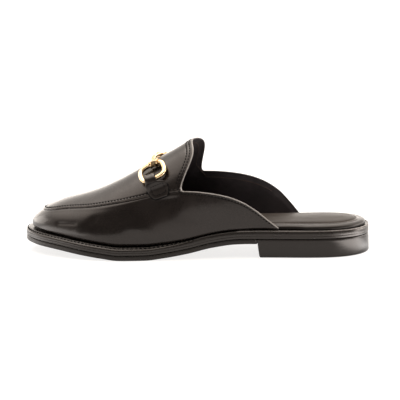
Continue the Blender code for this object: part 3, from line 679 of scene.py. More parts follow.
# The sock leather's lighter second colour paints the highlight along the sock's near edge.
SOCK_LEATHER = leather(
    "sock_leather_brown", (0.016, 0.0125, 0.0100), (0.027, 0.0215, 0.0175), 0.48, shine=0.16,
    worn=(0.05, 0.042, 0.036), **SOFT
)
WELT_EDGE = edge_paint("welt_edge", (0.0055, 0.0042, 0.0036), (0.013, 0.0105, 0.009), 0.27, shine=0.44)
OUTSOLE_EDGE = edge_paint("outsole_edge", (0.0055, 0.0043, 0.0037), (0.012, 0.0098, 0.0086), 0.38)
HEEL_EDGE = edge_paint("heel_edge", (0.0042, 0.0032, 0.0028), (0.0095, 0.0076, 0.0067), 0.20, shine=0.36)
TREAD_RUBBER = rubber("tread_rubber", (0.018, 0.016, 0.015), (0.034, 0.030, 0.028))
GOLD = metal("pale_gold", (0.52, 0.34, 0.17), (0.84, 0.65, 0.41), 0.16)
GOLD_DEEP = metal("pale_gold_bar", (0.50, 0.32, 0.16), (0.82, 0.63, 0.39), 0.18)
THREAD = thread("dark_thread", (0.0016, 0.0013, 0.0012), (0.0045, 0.0036, 0.0032))
EDGE_INK = thread("edge_ink", (0.0020, 0.0016, 0.0014), (0.0050, 0.0040, 0.0036))
LINING_THREAD = thread("lining_thread", (0.030, 0.020, 0.018), (0.060, 0.042, 0.036))
WELT_THREAD = thread("welt_thread", (0.0012, 0.0010, 0.0009), (0.0032, 0.0026, 0.0023))

# The upper


def metres(*millimetres):
    return [d * MM for d in millimetres]


# Distances at which the wall has rows below the topline or the seam, and the apron above the seam
WALL_FINE = metres(0.0, 0.25, 0.6, 1.1, 1.4, 1.7, 2.0, 2.4, 3.0, 3.5, 3.8, 4.1, 4.6)
APRON_FINE = metres(0.0, 0.08, 0.25, 0.55, 0.95, 1.35, 1.7, 1.95, 2.2, 2.45, 2.7, 3.1, 3.8)
# Distances from the tongue's edge at which the vamp has columns
EDGE_FINE = metres(
    0.0, 0.5, 1.0, 1.5, 1.8, 2.0, 2.2, 2.4, 2.6, 3.0, 3.6, 4.0, 4.2, 4.4, 4.6, 4.8, 5.4, 6.2
)
WALL_COARSE, APRON_COARSE = 26, 24
VAMP_COLUMNS, QUARTER_COLUMNS = 84, 40
NOTCH_RADIUS, NOTCH_COLUMNS, CORNER_ROWS = 3.2 * MM, 6, 12
SEAM_STITCH = 2.2 * MM
QUARTER_STITCH = 1.7 * MM
TONGUE_ROWS = (2.2 * MM, 4.4 * MM)
PLACE_RATE = 0.130
EDGE_THICKNESS = 1.15 * MM

# Soft troughs and swellings: side, then place and height share of the wall at the start and
# at the end, then half width and depth in millimetres
TROUGHS = (
    (LATERAL, 0.06, 0.80, 0.50, 0.50, 9.0, 1.1),
    (LATERAL, 0.760, 0.40, 0.645, 0.46, 1.8, 0.72),
    (LATERAL, 0.52, 0.62, 0.60, 0.30, 3.2, 0.30),
    (LATERAL, 0.30, 0.50, 0.16, 0.22, 6.0, -0.45),
    (LATERAL, -0.04, 0.46, -0.22, 0.34, 8.0, 0.35),
    (MEDIAL, 0.08, 0.78, 0.46, 0.52, 8.0, 0.9),
    (MEDIAL, 0.78, 0.38, 0.66, 0.50, 2.6, 0.45),
    (MEDIAL, 0.44, 0.60, 0.52, 0.26, 3.4, 0.30),
    (MEDIAL, 0.26, 0.46, 0.12, 0.20, 6.0, -0.40),
)


def apron_lift(distance):
    """Height of the apron over the last, at a distance above the seam: a folded edge, then level."""
    return APRON_STEP * (0.05 + 0.95 * math.sqrt(1 - (1 - min(distance / (0.55 * MM), 1.0)) ** 2))


def inner_height(edge):
    """How deep the lining lies under the last, at a distance inside the topline: the edge is skived thin."""
    return -EDGE_THICKNESS - (UPPER_WALL - EDGE_THICKNESS) * smooth_step(edge / (7 * MM))


def groove(distance, middle, half, depth):
    return -depth * (1 - smooth_step(abs(distance - middle) / half))


def trough_depth(side, place, share, length):
    total = 0.0
    here = np.array([place * PLACE_RATE, share * length])
    for owner, start_place, start_share, end_place, end_share, half, depth in TROUGHS:
        if owner is not side:
            continue
        start = np.array([start_place * PLACE_RATE, start_share * length])
        run = np.array([end_place * PLACE_RATE, end_share * length]) - start
        t = float(np.clip((here - start) @ run / (run @ run), 0, 1))
        away = np.linalg.norm(here - start - run * t) / (half * MM)
        if away < 2.2:
            total -= depth * MM * math.exp(-(away**2) * 1.6)
    return total


def wall_heights(side, place, total, distance):
    """Heights of the outside and the lining over the last, and wear, at a distance below the wall's top."""
    left = total - distance
    if place < 0:
        outer = groove(distance, QUARTER_STITCH, 0.6 * MM, 0.12 * MM) * min(1.0, total / (12 * MM))
    else:
        outer = 0.16 * MM * bell(distance, 2.2 * MM, 1.4 * MM) - 0.28 * MM * bell(distance, 0.0, 0.45 * MM)
    soft = smooth_step(distance / (5 * MM)) * smooth_step(left / (4 * MM))
    outer += trough_depth(side, place, left / total, total) * soft
    inner = inner_height(distance if place < 0 else math.hypot(distance, place * PLACE_RATE))
    curl = max(1 - left / (2.6 * MM), 0.0) ** 2 * 1.25 * MM * min(total / (9 * MM), 1.0)
    return outer - curl, inner - curl, 0.105 * math.exp(-left / (3 * MM))


def apron_heights(place, distance):
    """The same at a distance above the seam."""
    edge = place * PLACE_RATE
    outer = apron_lift(distance) + groove(distance, SEAM_STITCH, 0.7 * MM, 0.14 * MM)
    for middle in TONGUE_ROWS:
        outer += groove(edge, middle, 0.7 * MM, 0.12 * MM) * smooth_step((distance - 3.6 * MM) / (1.5 * MM))
    inner = inner_height(edge) + APRON_STEP * smooth_step(distance / (6 * MM))
    return outer, inner, 0.8 * bell(distance, 0.3 * MM, 0.5 * MM)


class Shell:
    """The upper's surface as numbered vertices: base points on the last, then heights off it."""

    def __init__(self):
        self.index, self.base, self.outer, self.inner, self.worn = {}, [], [], [], []
        self.faces = []

    def add(self, key, point, outer, inner, worn=0.0):
        if key not in self.index:
            self.index[key] = len(self.base)
            self.base.append(point)
            self.outer.append(outer)
            self.inner.append(inner)
            self.worn.append(worn)
        return self.index[key]

    def face(self, corners, sign):
        corners = [c for i, c in enumerate(corners) if c != corners[i - 1]]
        if len(corners) > 2:
            self.faces.append(corners if sign > 0 else corners[::-1])


def sorted_places(side):
    """The places of the quarter's columns and of the vamp's."""
    fine = [d / PLACE_RATE for d in EDGE_FINE]
    start = math.asin(fine[-1]) * 2 / math.pi
    turns = [start + (1 - start) * i / VAMP_COLUMNS for i in range(1, VAMP_COLUMNS)]
    vamp = fine + [math.sin(math.pi / 2 * turn) for turn in turns] + [1.0]
    step = -NOTCH_RADIUS / NOTCH_COLUMNS / (TOE_POINT - side.notch)
    near = [step * i for i in range(1, NOTCH_COLUMNS + 1)]
    rest = np.linspace(near[-1], side.last_place, QUARTER_COLUMNS + 1)[1:].tolist()
    return (near + rest)[::-1], vamp


def with_coarse(fine, end, count):
    """The fine distances, then even ones to the end."""
    return fine + list(np.linspace(fine[-1], end, count + 1)[1:])


def wall_column(shell, rib, limit):
    side, place = rib.side, rib.place
    points, lengths = rib.line(limit, math.pi / 2)
    total = lengths[-1]
    squeeze = min(1.0, 0.5 * total / WALL_FINE[-1])
    column = []
    for row, distance in enumerate(with_coarse([d * squeeze for d in WALL_FINE], total, WALL_COARSE)):
        key = ("toe", row) if place == 1.0 else (side.name, place, row)
        here = at_length(points, lengths, distance)
        column.append(shell.add(key, here, *wall_heights(side, place, total, distance)))
    return column


def apron_column(shell, rib, limit):
    place = rib.place
    points, lengths = rib.line(limit, 0.0)
    wanted = with_coarse(APRON_FINE, lengths[-1], APRON_COARSE)
    column = []
    for row, distance in enumerate(wanted):
        if row == len(wanted) - 1:
            key = ("ridge", place)
        elif place == 1.0:
            key = ("toe_apron", row)
        else:
            key = (rib.side.name, place, "apron", row)
        column.append(shell.add(key, at_length(points, lengths, distance), *apron_heights(place, distance)))
    return column


def build_upper():
    shell, grids = Shell(), []
    for side in (LATERAL, MEDIAL):
        quarter, vamp = sorted_places(side)
        wall, apron = [], []
        for place in quarter + vamp:
            rib = Rib(side, place)
            limit = rib.limit()
            wall.append(wall_column(shell, rib, limit))
            if place >= 0:
                apron.append(apron_column(shell, rib, limit))
        for near, far in zip(wall, wall[1:]):
            for i in range(len(near) - 1):
                shell.face((near[i + 1], near[i], far[i], far[i + 1]), side.sign)
        first = len(quarter)
        for near, far, low, high in zip(apron, apron[1:], wall[first:], wall[first + 1 :]):
            shell.face((low[0], near[0], far[0], high[0]), side.sign)
            for i in range(len(near) - 1):
                shell.face((near[i], near[i + 1], far[i + 1], far[i]), side.sign)
        grids.append(SimpleNamespace(side=side, first=first, wall=wall, apron=apron))
    for grid in grids:
        grid.arc = round_notch(shell, grid)
    return shell, grids


def corner_lines(shell, grid):
    """A point by its distances from the notch along the topline and up the tongue, and both lines' own."""
    points = np.array(shell.base)
    first = grid.first
    line = points[[c[0] for c in grid.wall[first - CORNER_ROWS : first + CORNER_ROWS + 2]]]
    lengths = lengths_of(line)
    a_of = lengths[CORNER_ROWS] - lengths
    rise = points[grid.wall[first][:CORNER_ROWS][::-1] + grid.apron[0][1:]]
    lengths = lengths_of(rise)
    b_of = lengths - lengths[CORNER_ROWS - 1]
    notch = points[grid.wall[first][0]]

    def point(a, b):
        return at_length(line[::-1], a_of[::-1], a) + at_length(rise, b_of, b) - notch

    return point, a_of, b_of


def round_notch(shell, grid):
    """Fills the notch's sharp corner up to an arc. Gives the arc's vertices from the topline up."""
    point, a_of, b_of = corner_lines(shell, grid)
    first, edge = grid.first, grid.apron[0]
    border = [(a_of[CORNER_ROWS - i], 0.0, grid.wall[first - i][0]) for i in range(NOTCH_COLUMNS, -1, -1)]
    rises = zip(b_of[CORNER_ROWS:], edge[1:])
    border += [(0.0, rise, vertex) for rise, vertex in rises if rise < NOTCH_RADIUS * 1.02]
    reach, top = border[0][0], border[-1][1]
    arc = [border[0][2]]
    for number, (a, b, _) in enumerate(border[1:-1], 1):
        turn = (1 + (b / top if b > 0 else -a / reach)) / 2 * math.pi / 2
        a, b = reach * (1 - math.sin(turn)), top * (1 - math.cos(turn))
        share = b / (a + b)
        inner = -EDGE_THICKNESS + APRON_STEP * 0.2 * share
        arc.append(shell.add((grid.side.name, "arc", number), point(a, b), apron_lift(b) * share, inner))
    arc.append(border[-1][2])
    for i in range(len(border) - 1):
        shell.face((border[i][2], arc[i], arc[i + 1], border[i + 1][2]), grid.side.sign)
    return arc


shell, grids = build_upper()
base = np.array(shell.base)
normals = np.zeros_like(base)
for corners in shell.faces:
    p = base[corners]
    cross = np.cross(p[2] - p[0], (p[3] if len(corners) > 3 else p[0]) - p[1])
    for c in corners:
        normals[c] += cross
for grid in grids:
    for wall, apron in zip(grid.wall[grid.first :], grid.apron):
        normals[wall[0]] = normals[apron[0]] = normals[wall[0]] + normals[apron[0]]
normals /= np.maximum(np.linalg.norm(normals, axis=1), 1e-12)[:, None]
outer_points = base + normals * np.array(shell.outer)[:, None]
inner_points = base + normals * np.array(shell.inner)[:, None]


def make_shell():
    count = len(base)
    faces = shell.faces + [tuple(c + count for c in f[::-1]) for f in shell.faces]
    looks = [0] * len(shell.faces) + [1] * len(shell.faces)
    edges = dict.fromkeys((a, b) for f in shell.faces for a, b in zip(f, f[1:] + f[:1]))
    for a, b in edges:
        if (b, a) not in edges:
            faces.append((b, a, a + count, b + count))
            looks.append(1)
    shape = [*outer_points, *inner_points], faces
    worn = shell.worn + [0.0] * count
    add_object("upper_shell", shape, [UPPER_LEATHER, LINING], "upper", looks, worn)


def over_ridge(of_side):
    """One line up the lateral side and down the medial one. Their last point is the same."""
    lateral, medial = (of_side(grid) for grid in grids)
    return lateral + medial[::-1][1:]


def on_upper(vertex):
    return outer_points[vertex], normals[vertex], vertex


def around(inset, quarter_inset):
    """Points, normals and vertices at a distance inside the tongue's edge, the notches and the topline."""
    row = min(range(len(WALL_FINE)), key=lambda i: abs(WALL_FINE[i] - quarter_inset))
    column = min(range(len(EDGE_FINE)), key=lambda i: abs(EDGE_FINE[i] - inset))

    def one_side(grid):
        line = []
        for c in grid.wall[: grid.first - NOTCH_COLUMNS]:
            if inset == 0 or np.linalg.norm(base[c[0]] - base[c[-1]]) > 2.2 * WALL_FINE[row]:
                line.append(on_upper(c[row]))
        if inset == 0:
            line += [on_upper(v) for v in grid.arc]
        else:
            point = corner_lines(shell, grid)[0]
            normal = normals[grid.wall[grid.first][0]]
            for turn in np.linspace(0, math.pi / 2, 9):
                wide = NOTCH_RADIUS + quarter_inset + (inset - quarter_inset) * turn / (math.pi / 2)
                a, b = NOTCH_RADIUS - wide * math.sin(turn), NOTCH_RADIUS - wide * math.cos(turn)
                lift = apron_lift(max(b, 0)) * smooth_step(b / (0.8 * MM) + 0.5)
                line.append((point(a, b) + normal * lift, normal, None))
        edge = grid.apron[column]
        above = [v for v in edge if np.linalg.norm(base[v] - base[edge[0]]) > NOTCH_RADIUS * 1.1]
        return line + [on_upper(v) for v in above]

    return over_ridge(one_side)


def make_edge():
    """The topline's edge, from the lateral quarter's end over the tongue to the medial one."""
    rim = [vertex for _, _, vertex in around(0.0, 0.0)]
    line = (outer_points[rim] + inner_points[rim]) / 2
    ahead = np.gradient(line, axis=0)
    ahead /= np.linalg.norm(ahead, axis=1)[:, None]
    line -= np.cross(ahead, normals[rim]) * 0.2 * MM
    thick = np.linalg.norm(outer_points[rim] - inner_points[rim], axis=1)
    sides = 14
    vertices, faces = tube(line, thick / 2 + 0.03 * MM, sides=sides)
    points = np.array(vertices)
    # Faces on the outer half take the light colour, a painted highlight along the fold; those on the inner
    # half take the lining.
    looks = []
    for face in faces:
        ring = face[0] // sides
        middle = points[list(face)].mean(axis=0) - line[ring]
        looks.append(0 if middle @ normals[rim[ring]] > -0.1 * thick[ring] else 1)
    add_object("topline_edge", (vertices, faces), [TOPLINE_HIGHLIGHT_PAINT, LINING], looks=looks)


def make_upper_seams():
    """Stitches round the topline and the apron, and a light seam inside where the turned-in edge ends."""
    column = EDGE_FINE.index(TONGUE_ROWS[1])
    points, ups, _ = zip(*around(TONGUE_ROWS[0], QUARTER_STITCH))
    rows = [stitches(points, ups, 2.5 * MM, 1.4 * MM, 0.78 * MM, 0.10 * MM)]
    line = over_ridge(lambda grid: grid.apron[column][len(APRON_FINE) :])
    rows.append(stitches(outer_points[line], normals[line], 2.5 * MM, 1.4 * MM, 0.78 * MM, 0.10 * MM))
    add_object("topline_stitches", merge(rows), [THREAD])

    def inside(grid):
        along = [c[len(WALL_FINE) - 1] for c in grid.wall[12 : grid.first - NOTCH_COLUMNS]]
        return along + grid.apron[column][len(APRON_FINE) + 1 :]

    line = over_ridge(inside)
    seam = tube(inner_points[line] + normals[line] * 0.05 * MM, 0.28 * MM, sides=8)
    add_object("lining_seam", seam, [LINING_THREAD])
    row = APRON_FINE.index(SEAM_STITCH)
    line = over_ridge(lambda grid: [c[row] for c in grid.apron[12:]])
    beads = stitches(outer_points[line], normals[line], 2.55 * MM, 1.4 * MM, 0.84 * MM, 0.10 * MM)
    add_object("apron_stitches", beads, [THREAD])


make_shell()
make_edge()
make_upper_seams()

# The sole

UP = (0, 0, 1)
RIM_END = 0.36 * SOLE_LENGTH
RIM_INSET = 0.5 * MM
WELT_SEAM_START = 0.475 * SOLE_LENGTH


def line_round(turns, inset, height):
    """Points at an inset from the outline."""
    return [(x, y, height(x)) for x, y in (inset_point(turn, inset) for turn in turns)]


def levels_of(rows, height, inset=lambda share: 0.0):
    """Levels from rows of millimetres: inwards from an inset and up from a height."""

    def level(inward, rise):
        return (lambda share: inset(share) + inward * MM), (lambda x: height(x) + rise * MM)

    return [level(*row) for row in rows]


def layered(levels, first, last, steps, across=1, crown=0.0):
    """A closed plate between two angles of the outline, as levels of inset and height from the bottom up."""
    angles = [first + (last - first) * i / steps for i in range(steps + 1)]
    angles += [2 * math.pi - a for a in angles[::-1]]
    count = len(angles)
    vertices, faces = [], []
    for inset, height in levels:
        vertices += line_round(angles, inset, height)
    rings = np.arange(len(vertices)).reshape(-1, count).tolist()
    for low, high in zip(rings, rings[1:]):
        for i in range(count):
            j = (i + 1) % count
            faces.append((low[i], high[i], high[j], low[j]))
    for ring, height, rise in ((rings[0], levels[0][1], 0.0), (rings[-1], levels[-1][1], crown)):
        lines = []
        for i in range(steps + 1):
            start, end = np.array(vertices[ring[i]]), np.array(vertices[ring[count - 1 - i]])
            swell = rise * math.sqrt(math.sin(math.pi * i / steps))
            line = [ring[i]]
            for share in np.arange(1, across) / across:
                x, y, _ = start + (end - start) * share
                line.append(len(vertices))
                vertices.append((x, y, height(x) + swell * (1 - (2 * share - 1) ** 2)))
            lines.append(line + [ring[count - 1 - i]])
        for near, far in zip(lines, lines[1:]):
            for j in range(across):
                face = (near[j], near[j + 1], far[j + 1], far[j])
                faces.append(face if ring is rings[-1] else face[::-1])
    return fold_up(vertices, faces)


def fold_up(vertices, faces):
    """Joins vertices that coincide and drops faces that collapse."""
    keys, order, kept = {}, [], []
    for v in vertices:
        key = tuple(round(float(c) * 1e6) for c in v)
        if key not in keys:
            keys[key] = len(kept)
            kept.append(v)
        order.append(keys[key])
    out = []
    for f in faces:
        f = [order[i] for i in f]
        f = [c for i, c in enumerate(f) if c != f[i - 1]]
        if len(f) > 2:
            out.append(tuple(f))
    return kept, out


def forepart(share):
    return 0.28 + 0.72 * smooth_step((share - 0.46) / 0.12)


def outsole_bottom(x):
    return underside(x / SOLE_LENGTH)


def footbed_top(x):
    return sole_top(x) + INSOLE_THICKNESS


def make_welt():
    def shoulder(share_up, dip=0.0):
        """A level on the bevel: share_up is 0 at its outer edge and 1 at the top."""

        def inset(share):
            return (WELT_BEVEL_WIDTH * share_up + dip * MM * 0.6) * forepart(share)

        def height(x):
            f = forepart(x / SOLE_LENGTH)
            return sole_top(x) - WELT_BEVEL_HEIGHT * f * (1 - signed_power(share_up, 0.8)) - dip * MM * f

        return inset, height

    edge = (
        (1.2, 0.0), (0.55, 0.02), (0.2, 0.15), (0.04, 0.4), (0.0, 0.7),
        (0.0, 1.7), (0.02, 1.95), (0.16, 2.1), (0.02, 2.25), (0.0, 2.5),
    )
    bevel = (-0.06,), (0.04,), (0.22,), (0.40,), (0.52, 0.22), (0.60, 0.28), (0.68, 0.22), (0.80,), (0.94,)
    levels = levels_of(edge, lambda x: sole_top(x) - WELT_THICKNESS + JOINT_GAP)
    levels += [shoulder(*row) for row in bevel]
    levels.append((lambda share: (WELT_BEVEL_WIDTH + 0.5 * MM) * forepart(share) + 0.2 * MM, sole_top))
    add_object("welt_band", layered(levels, 0.0, math.pi, 150), [WELT_EDGE], "welt")
    start = angle_at(WELT_SEAM_START)
    turns = np.linspace(start, 2 * math.pi - start, 260)
    line = line_round(turns, *shoulder(0.60, 0.22))
    ups = []
    for turn, (x, y, _) in zip(turns, line):
        ups.append(unit(unit([*(inset_point(turn, 0.0) - (x, y)), 0.0]) * 0.6 + np.array([0, 0, 0.8])))
    beads = stitches(line, ups, 3.3 * MM, 2.1 * MM, 0.95 * MM, 0.18 * MM)
    add_object("welt_stitches", beads, [WELT_THREAD])
    # A thin tube in the light highlight colour on the welt's top round the heel: a painted highlight along
    # its edge.
    last = angle_at(RIM_END)
    line = line_round(np.linspace(-last, last, 200), RIM_INSET, lambda x: sole_top(x) + 0.02 * MM)
    add_object("rim_line", tube(line, 0.34 * MM, sides=10, up=UP), [RIM_HIGHLIGHT_PAINT])


def make_tread(name, start, end, inset, floor):
    """Wavy bars in the shallow recess of a sole's underside, cut flat just inside the floor's height."""
    parts = []
    for station in np.arange(start, end, 5.2 * MM):
        turn = angle_at(station)
        left = inset_point(turn, inset)[1]
        width = left - inset_point(2 * math.pi - turn, inset)[1]
        if width > 8 * MM:
            line = []
            for share in np.linspace(0, 1, 25):
                x = station + 1.3 * MM * math.sin(share * math.pi * 2 * round(width / (9 * MM)))
                line.append((x, left - width * share, floor(x) + 0.55 * MM))
            parts.append(tube(line, 1.0 * MM, sides=8, square=3.0, up=UP, turn=math.pi / 8))
    vertices, faces = merge(parts)
    vertices = [(x, y, max(z, floor(x) + 0.02 * MM)) for x, y, z in vertices]
    add_object(name, (vertices, faces), [TREAD_RUBBER])


def make_outsole():
    low = (5.2, 0.5), (5.0, 0.0), (0.7, 0.0), (0.25, 0.12), (0.05, 0.4), (0.0, 0.8)
    high = (0.0, -0.8), (0.06, -0.4), (0.3, -0.1), (1.0, 0.0)
    levels = levels_of(low, outsole_bottom) + levels_of(high, lambda x: outsole_bottom(x) + OUTSOLE_THICKNESS)
    plate = layered(levels, angle_at(HEEL_LENGTH + JOINT_GAP), math.pi, 120)
    add_object("outsole_layer", plate, [OUTSOLE_EDGE], "outsole")
    start, end = HEEL_LENGTH + 9 * MM, SOLE_LENGTH - 12 * MM
    make_tread("outsole_tread", start, end, 7.5 * MM, outsole_bottom)


def make_heel():
    top = HEEL_RISE + OUTSOLE_THICKNESS
    corner = 1.6 * MM

    def breast(z):
        """The breast's station at a height: slanting, with its lower corner rounded."""
        low = max(corner - z, 0.0)
        rounding = corner - math.sqrt(max(corner**2 - low**2, 0.0))
        return HEEL_LENGTH - BREAST_SLANT * (1 - z / top) - rounding

    low = (
        (6.2, 0.5), (6.0, 0.0), (0.9, 0.0), (0.35, 0.13), (0.08, 0.45),
        (0.0, 0.9), (0.0, 2.0), (0.0, 5.0), (0.0, 8.0), (0.0, 11.0),
    )
    high = (0.0, -0.8), (0.08, -0.35), (0.35, -0.1), (1.0, 0.0)
    levels = levels_of(low, lambda x: 0.0) + levels_of(high, lambda x: top)
    vertices, faces = layered(levels, 0.0, angle_at(HEEL_LENGTH), 70)
    moved = []
    for x, y, z in vertices:
        if x > HEEL_LENGTH - 1.2 * MM:
            x = breast(z)
        elif x > HEEL_LENGTH - 4 * MM:
            x = min(x, breast(z))
        moved.append((x, y, z))
    add_object("heel_block", fold_up(moved, faces), [HEEL_EDGE], "heel")
    make_tread("heel_tread", 9 * MM, HEEL_LENGTH - 7 * MM, 8.5 * MM, lambda x: 0.0)


def footbed_inset(share, lead, span):
    """The footbed's edge: it goes in under the quarters over a span that starts a lead before their end."""
    rear = (MEDIAL.quarter_end - INSOLE_LEAD) / SOLE_LENGTH
    return ledge(share) + smooth_step((share - rear + lead) / span) * (UPPER_WALL + JOINT_GAP)


def insole_inset(share):
    return footbed_inset(share, 0.0, 0.04)


def lip_inset(share):
    """The inner end of the footbed's roll, which narrows earlier than the footbed does."""
    return footbed_inset(share, 0.20, 0.24) + INSOLE_ROLL


def sock_edge(share):
    return footbed_inset(share, 0.20, 0.24) + SOCK_INSET + 0.3 * MM


def make_insole():
    roll = []
    for turn in np.radians(range(0, 91, 10)):
        inward = INSOLE_ROLL * (1 - max(math.cos(turn), 0.0) ** (2 / INSOLE_SQUARENESS))
        rise = INSOLE_THICKNESS * (0.35 + 0.65 * math.sin(turn) ** (2 / INSOLE_SQUARENESS))
        roll.append((inward / MM, rise / MM))
    levels = levels_of([(1.5, -0.2), (0.35, 0.05), (0.05, 0.45)] + roll, sole_top, insole_inset)
    step = (-0.5, 0.0), (-0.1, -0.25), (0.2, -0.8), (0.8, -1.0), (2.5, -1.0)
    levels += levels_of(step, footbed_top, lip_inset)
    vertices, faces = layered(levels, 0.0, math.pi, 140)
    # Vertices at the top of the roll get the lighter colour: a painted highlight along the footbed's bead.
    worn = [0.5 if z > sole_top(x) + 0.93 * INSOLE_THICKNESS else 0.0 for x, _, z in vertices]
    add_object("footbed", (vertices, faces), [INSOLE_LEATHER], "insole", worn=worn)


def make_sock():
    rows = (
        (1.2, -0.9), (0.5, -0.85), (0.18, -0.5), (0.1, -0.1), (0.25, 0.3), (0.6, 0.72),
        (1.1, 1.0), (1.8, 1.22), (2.7, 1.38), (4.0, 1.52), (6.0, 1.66), (9.0, 1.8),
    )
    levels = levels_of(rows, footbed_top, sock_edge)
    vertices, faces = layered(levels, 0.0, math.pi, 110, across=8, crown=0.5 * MM)
    # A thin band just above the sock's foot gets the lighter colour: a painted highlight along its edge.
    worn = [0.45 if 0.0 < z - footbed_top(x) < 0.62 * MM else 0.0 for x, _, z in vertices]
    item = add_object("sock_pad", (vertices, faces), [SOCK_LEATHER], "sock", worn=worn)


def make_lip():
    """The footbed's lip round the sock: a thin tube in a light colour, a painted highlight along the lip."""
    turns = np.linspace(0, 2 * math.pi, 301)[:-1]
    line = line_round(turns, lambda share: lip_inset(share) - 0.25 * MM, footbed_top)
    lip = tube(line, 0.36 * MM, sides=10, cyclic=True, up=UP)
    add_object("footbed_lip", lip, [RIM_HIGHLIGHT_PAINT])


for make in (make_lip, make_welt, make_outsole, make_heel, make_insole, make_sock):
    make()

# The trim


class Patch:
    """The apron by the trim, measured towards the heel, down from the ridge and off the surface."""

    def __init__(self, side):
        self.side = side
        rib = Rib(side, TRIM_PLACE)
        self.turns = np.linspace(0.0, rib.limit() + 0.15, 60)
        self.drops = lengths_of([rib.point(turn) for turn in self.turns])
        turn = float(np.interp(RING_DROP, self.drops, self.turns))
        here = rib.point(turn)
        down = rib.point(turn + 0.01) - here
        along = here - rib_point(side, TRIM_PLACE + 0.01, turn)
        self.slant = down @ along / np.linalg.norm(down) / np.linalg.norm(along)

    def frame_at(self, along, down):
        below, straight = down - RING_DROP, math.sqrt(1 - self.slant**2)
        along -= below * self.slant / straight
        turn = float(np.interp(RING_DROP + below / straight, self.drops, self.turns))
        here = rib_point(self.side, TRIM_PLACE, turn)
        rate = np.linalg.norm(rib_point(self.side, TRIM_PLACE + 0.01, turn) - here) / 0.01
        place = TRIM_PLACE - along / rate
        return rib_point(self.side, place, turn), normal_at(self.side, place, turn)

    def point(self, along, down, height):
        here, normal = self.frame_at(along, down)
        return here + normal * (APRON_STEP + height)


class Trim:
    """One side's ring: its centre, its directions and its height over the apron."""

    def __init__(self, side):
        self.side = side
        self.patch = Patch(side)
        self.low_height = JOINT_GAP + STRAP_THICKNESS + TRIM_CLEARANCE + RING_WIRE / 2
        self.high_height = JOINT_GAP + BARREL_WALL + 2 * TRIM_CLEARANCE + RING_WIRE / 2
        low = self.patch.point(RING_OFFSET, RING_DROP, self.low_height)
        high = self.patch.point(RING_OFFSET, RING_DROP - RING_WIDTH + RING_WIRE, self.high_height)
        self.centre = (low + high) / 2
        self.across = unit(low - high)
        ends = []
        for way in (-1, 1):
            along = RING_OFFSET + way * 0.36 * RING_LENGTH
            ends.append(self.patch.point(along, RING_DROP - RING_WIDTH / 2, self.low_height))
        along = ends[1] - ends[0]
        self.along = unit(along - self.across * (along @ self.across))
        self.radius = np.linalg.norm(low - high) / 2
        self.hold = self.ring_side(BAR_OFFSET, -1)
        self.off = unit(np.cross(self.along, self.across))
        if self.off[2] < 0:
            self.off = -self.off

    def sag(self, along):
        share = min(abs(along - RING_OFFSET) / ((RING_LENGTH - RING_WIRE) / 2), 0.98)
        return self.radius * (1 - (1 - share**RING_SQUARENESS) ** (1 / RING_SQUARENESS))

    def ring_side(self, along, way):
        out = way * (self.radius - self.sag(along))
        return self.centre + self.along * (along - RING_OFFSET) + self.across * out

    def loop_point(self, angle):
        power = 2 / RING_SQUARENESS
        u = signed_power(math.cos(angle), power) * (RING_LENGTH - RING_WIRE) / 2
        v = signed_power(math.sin(angle), power) * self.radius
        return self.centre + self.along * u + self.across * v


def make_ring(trim):
    line = [trim.loop_point(2 * math.pi * i / 96) for i in range(96)]
    parts = [tube(line, 1.1 * RING_WIRE / 2, sides=24, cyclic=True, square=3.0, up=trim.off)]
    profile = ((-0.5, 0.8), (-0.46, 1.18), (-0.34, 1.28), (0.34, 1.28), (0.46, 1.18), (0.5, 0.8))
    middle = RING_OFFSET - STRAP_NECK / 2 - 1.9 * MM
    knob = [trim.ring_side(middle + u * 2.4 * MM, 1) for u, _ in profile]
    parts.append(tube(knob, [RING_WIRE / 2 * r for _, r in profile], sides=24, square=2.6, up=trim.off))
    add_object("ring_" + trim.side.name, merge(parts), [GOLD], "bit_ring_" + trim.side.name)


def make_barrel(trim):
    """A barrel round the ring's wire, with a collar at each end and eight facets between."""
    sides, facet = 24, math.pi / 8
    bore = RING_WIRE / 2 + TRIM_CLEARANCE
    outer = bore + BARREL_WALL
    profile = [(-0.5, bore), (-0.5, outer - 0.25 * MM), (-0.47, outer), (-0.33, outer)]
    profile += [(-0.30, outer - 0.2 * MM), (-0.26, outer - 0.35 * MM)]
    profile += [(-u, r) for u, r in profile[::-1]]
    profile += [(0.5, bore - 0.02 * MM), (0.2, bore), (-0.2, bore), (-0.5, bore - 0.02 * MM)]
    vertices = []
    for u, r in profile:
        along = BAR_OFFSET + BARREL_LENGTH * u
        centre = trim.ring_side(along, -1)
        ahead = unit(trim.ring_side(along + 0.1 * MM, -1) - trim.ring_side(along - 0.1 * MM, -1))
        side = unit(trim.off - ahead * (trim.off @ ahead))
        other = np.cross(ahead, side)
        for j in range(sides):
            a = 2 * math.pi * j / sides
            flat = math.cos(facet) / math.cos((a % (2 * facet)) - facet) if abs(u) < 0.29 else 1.0
            vertices.append(centre + (side * math.cos(a) + other * math.sin(a)) * r * flat)
    rings = np.arange(len(vertices)).reshape(-1, sides).tolist()
    return vertices, ring_faces(rings, closed=True)


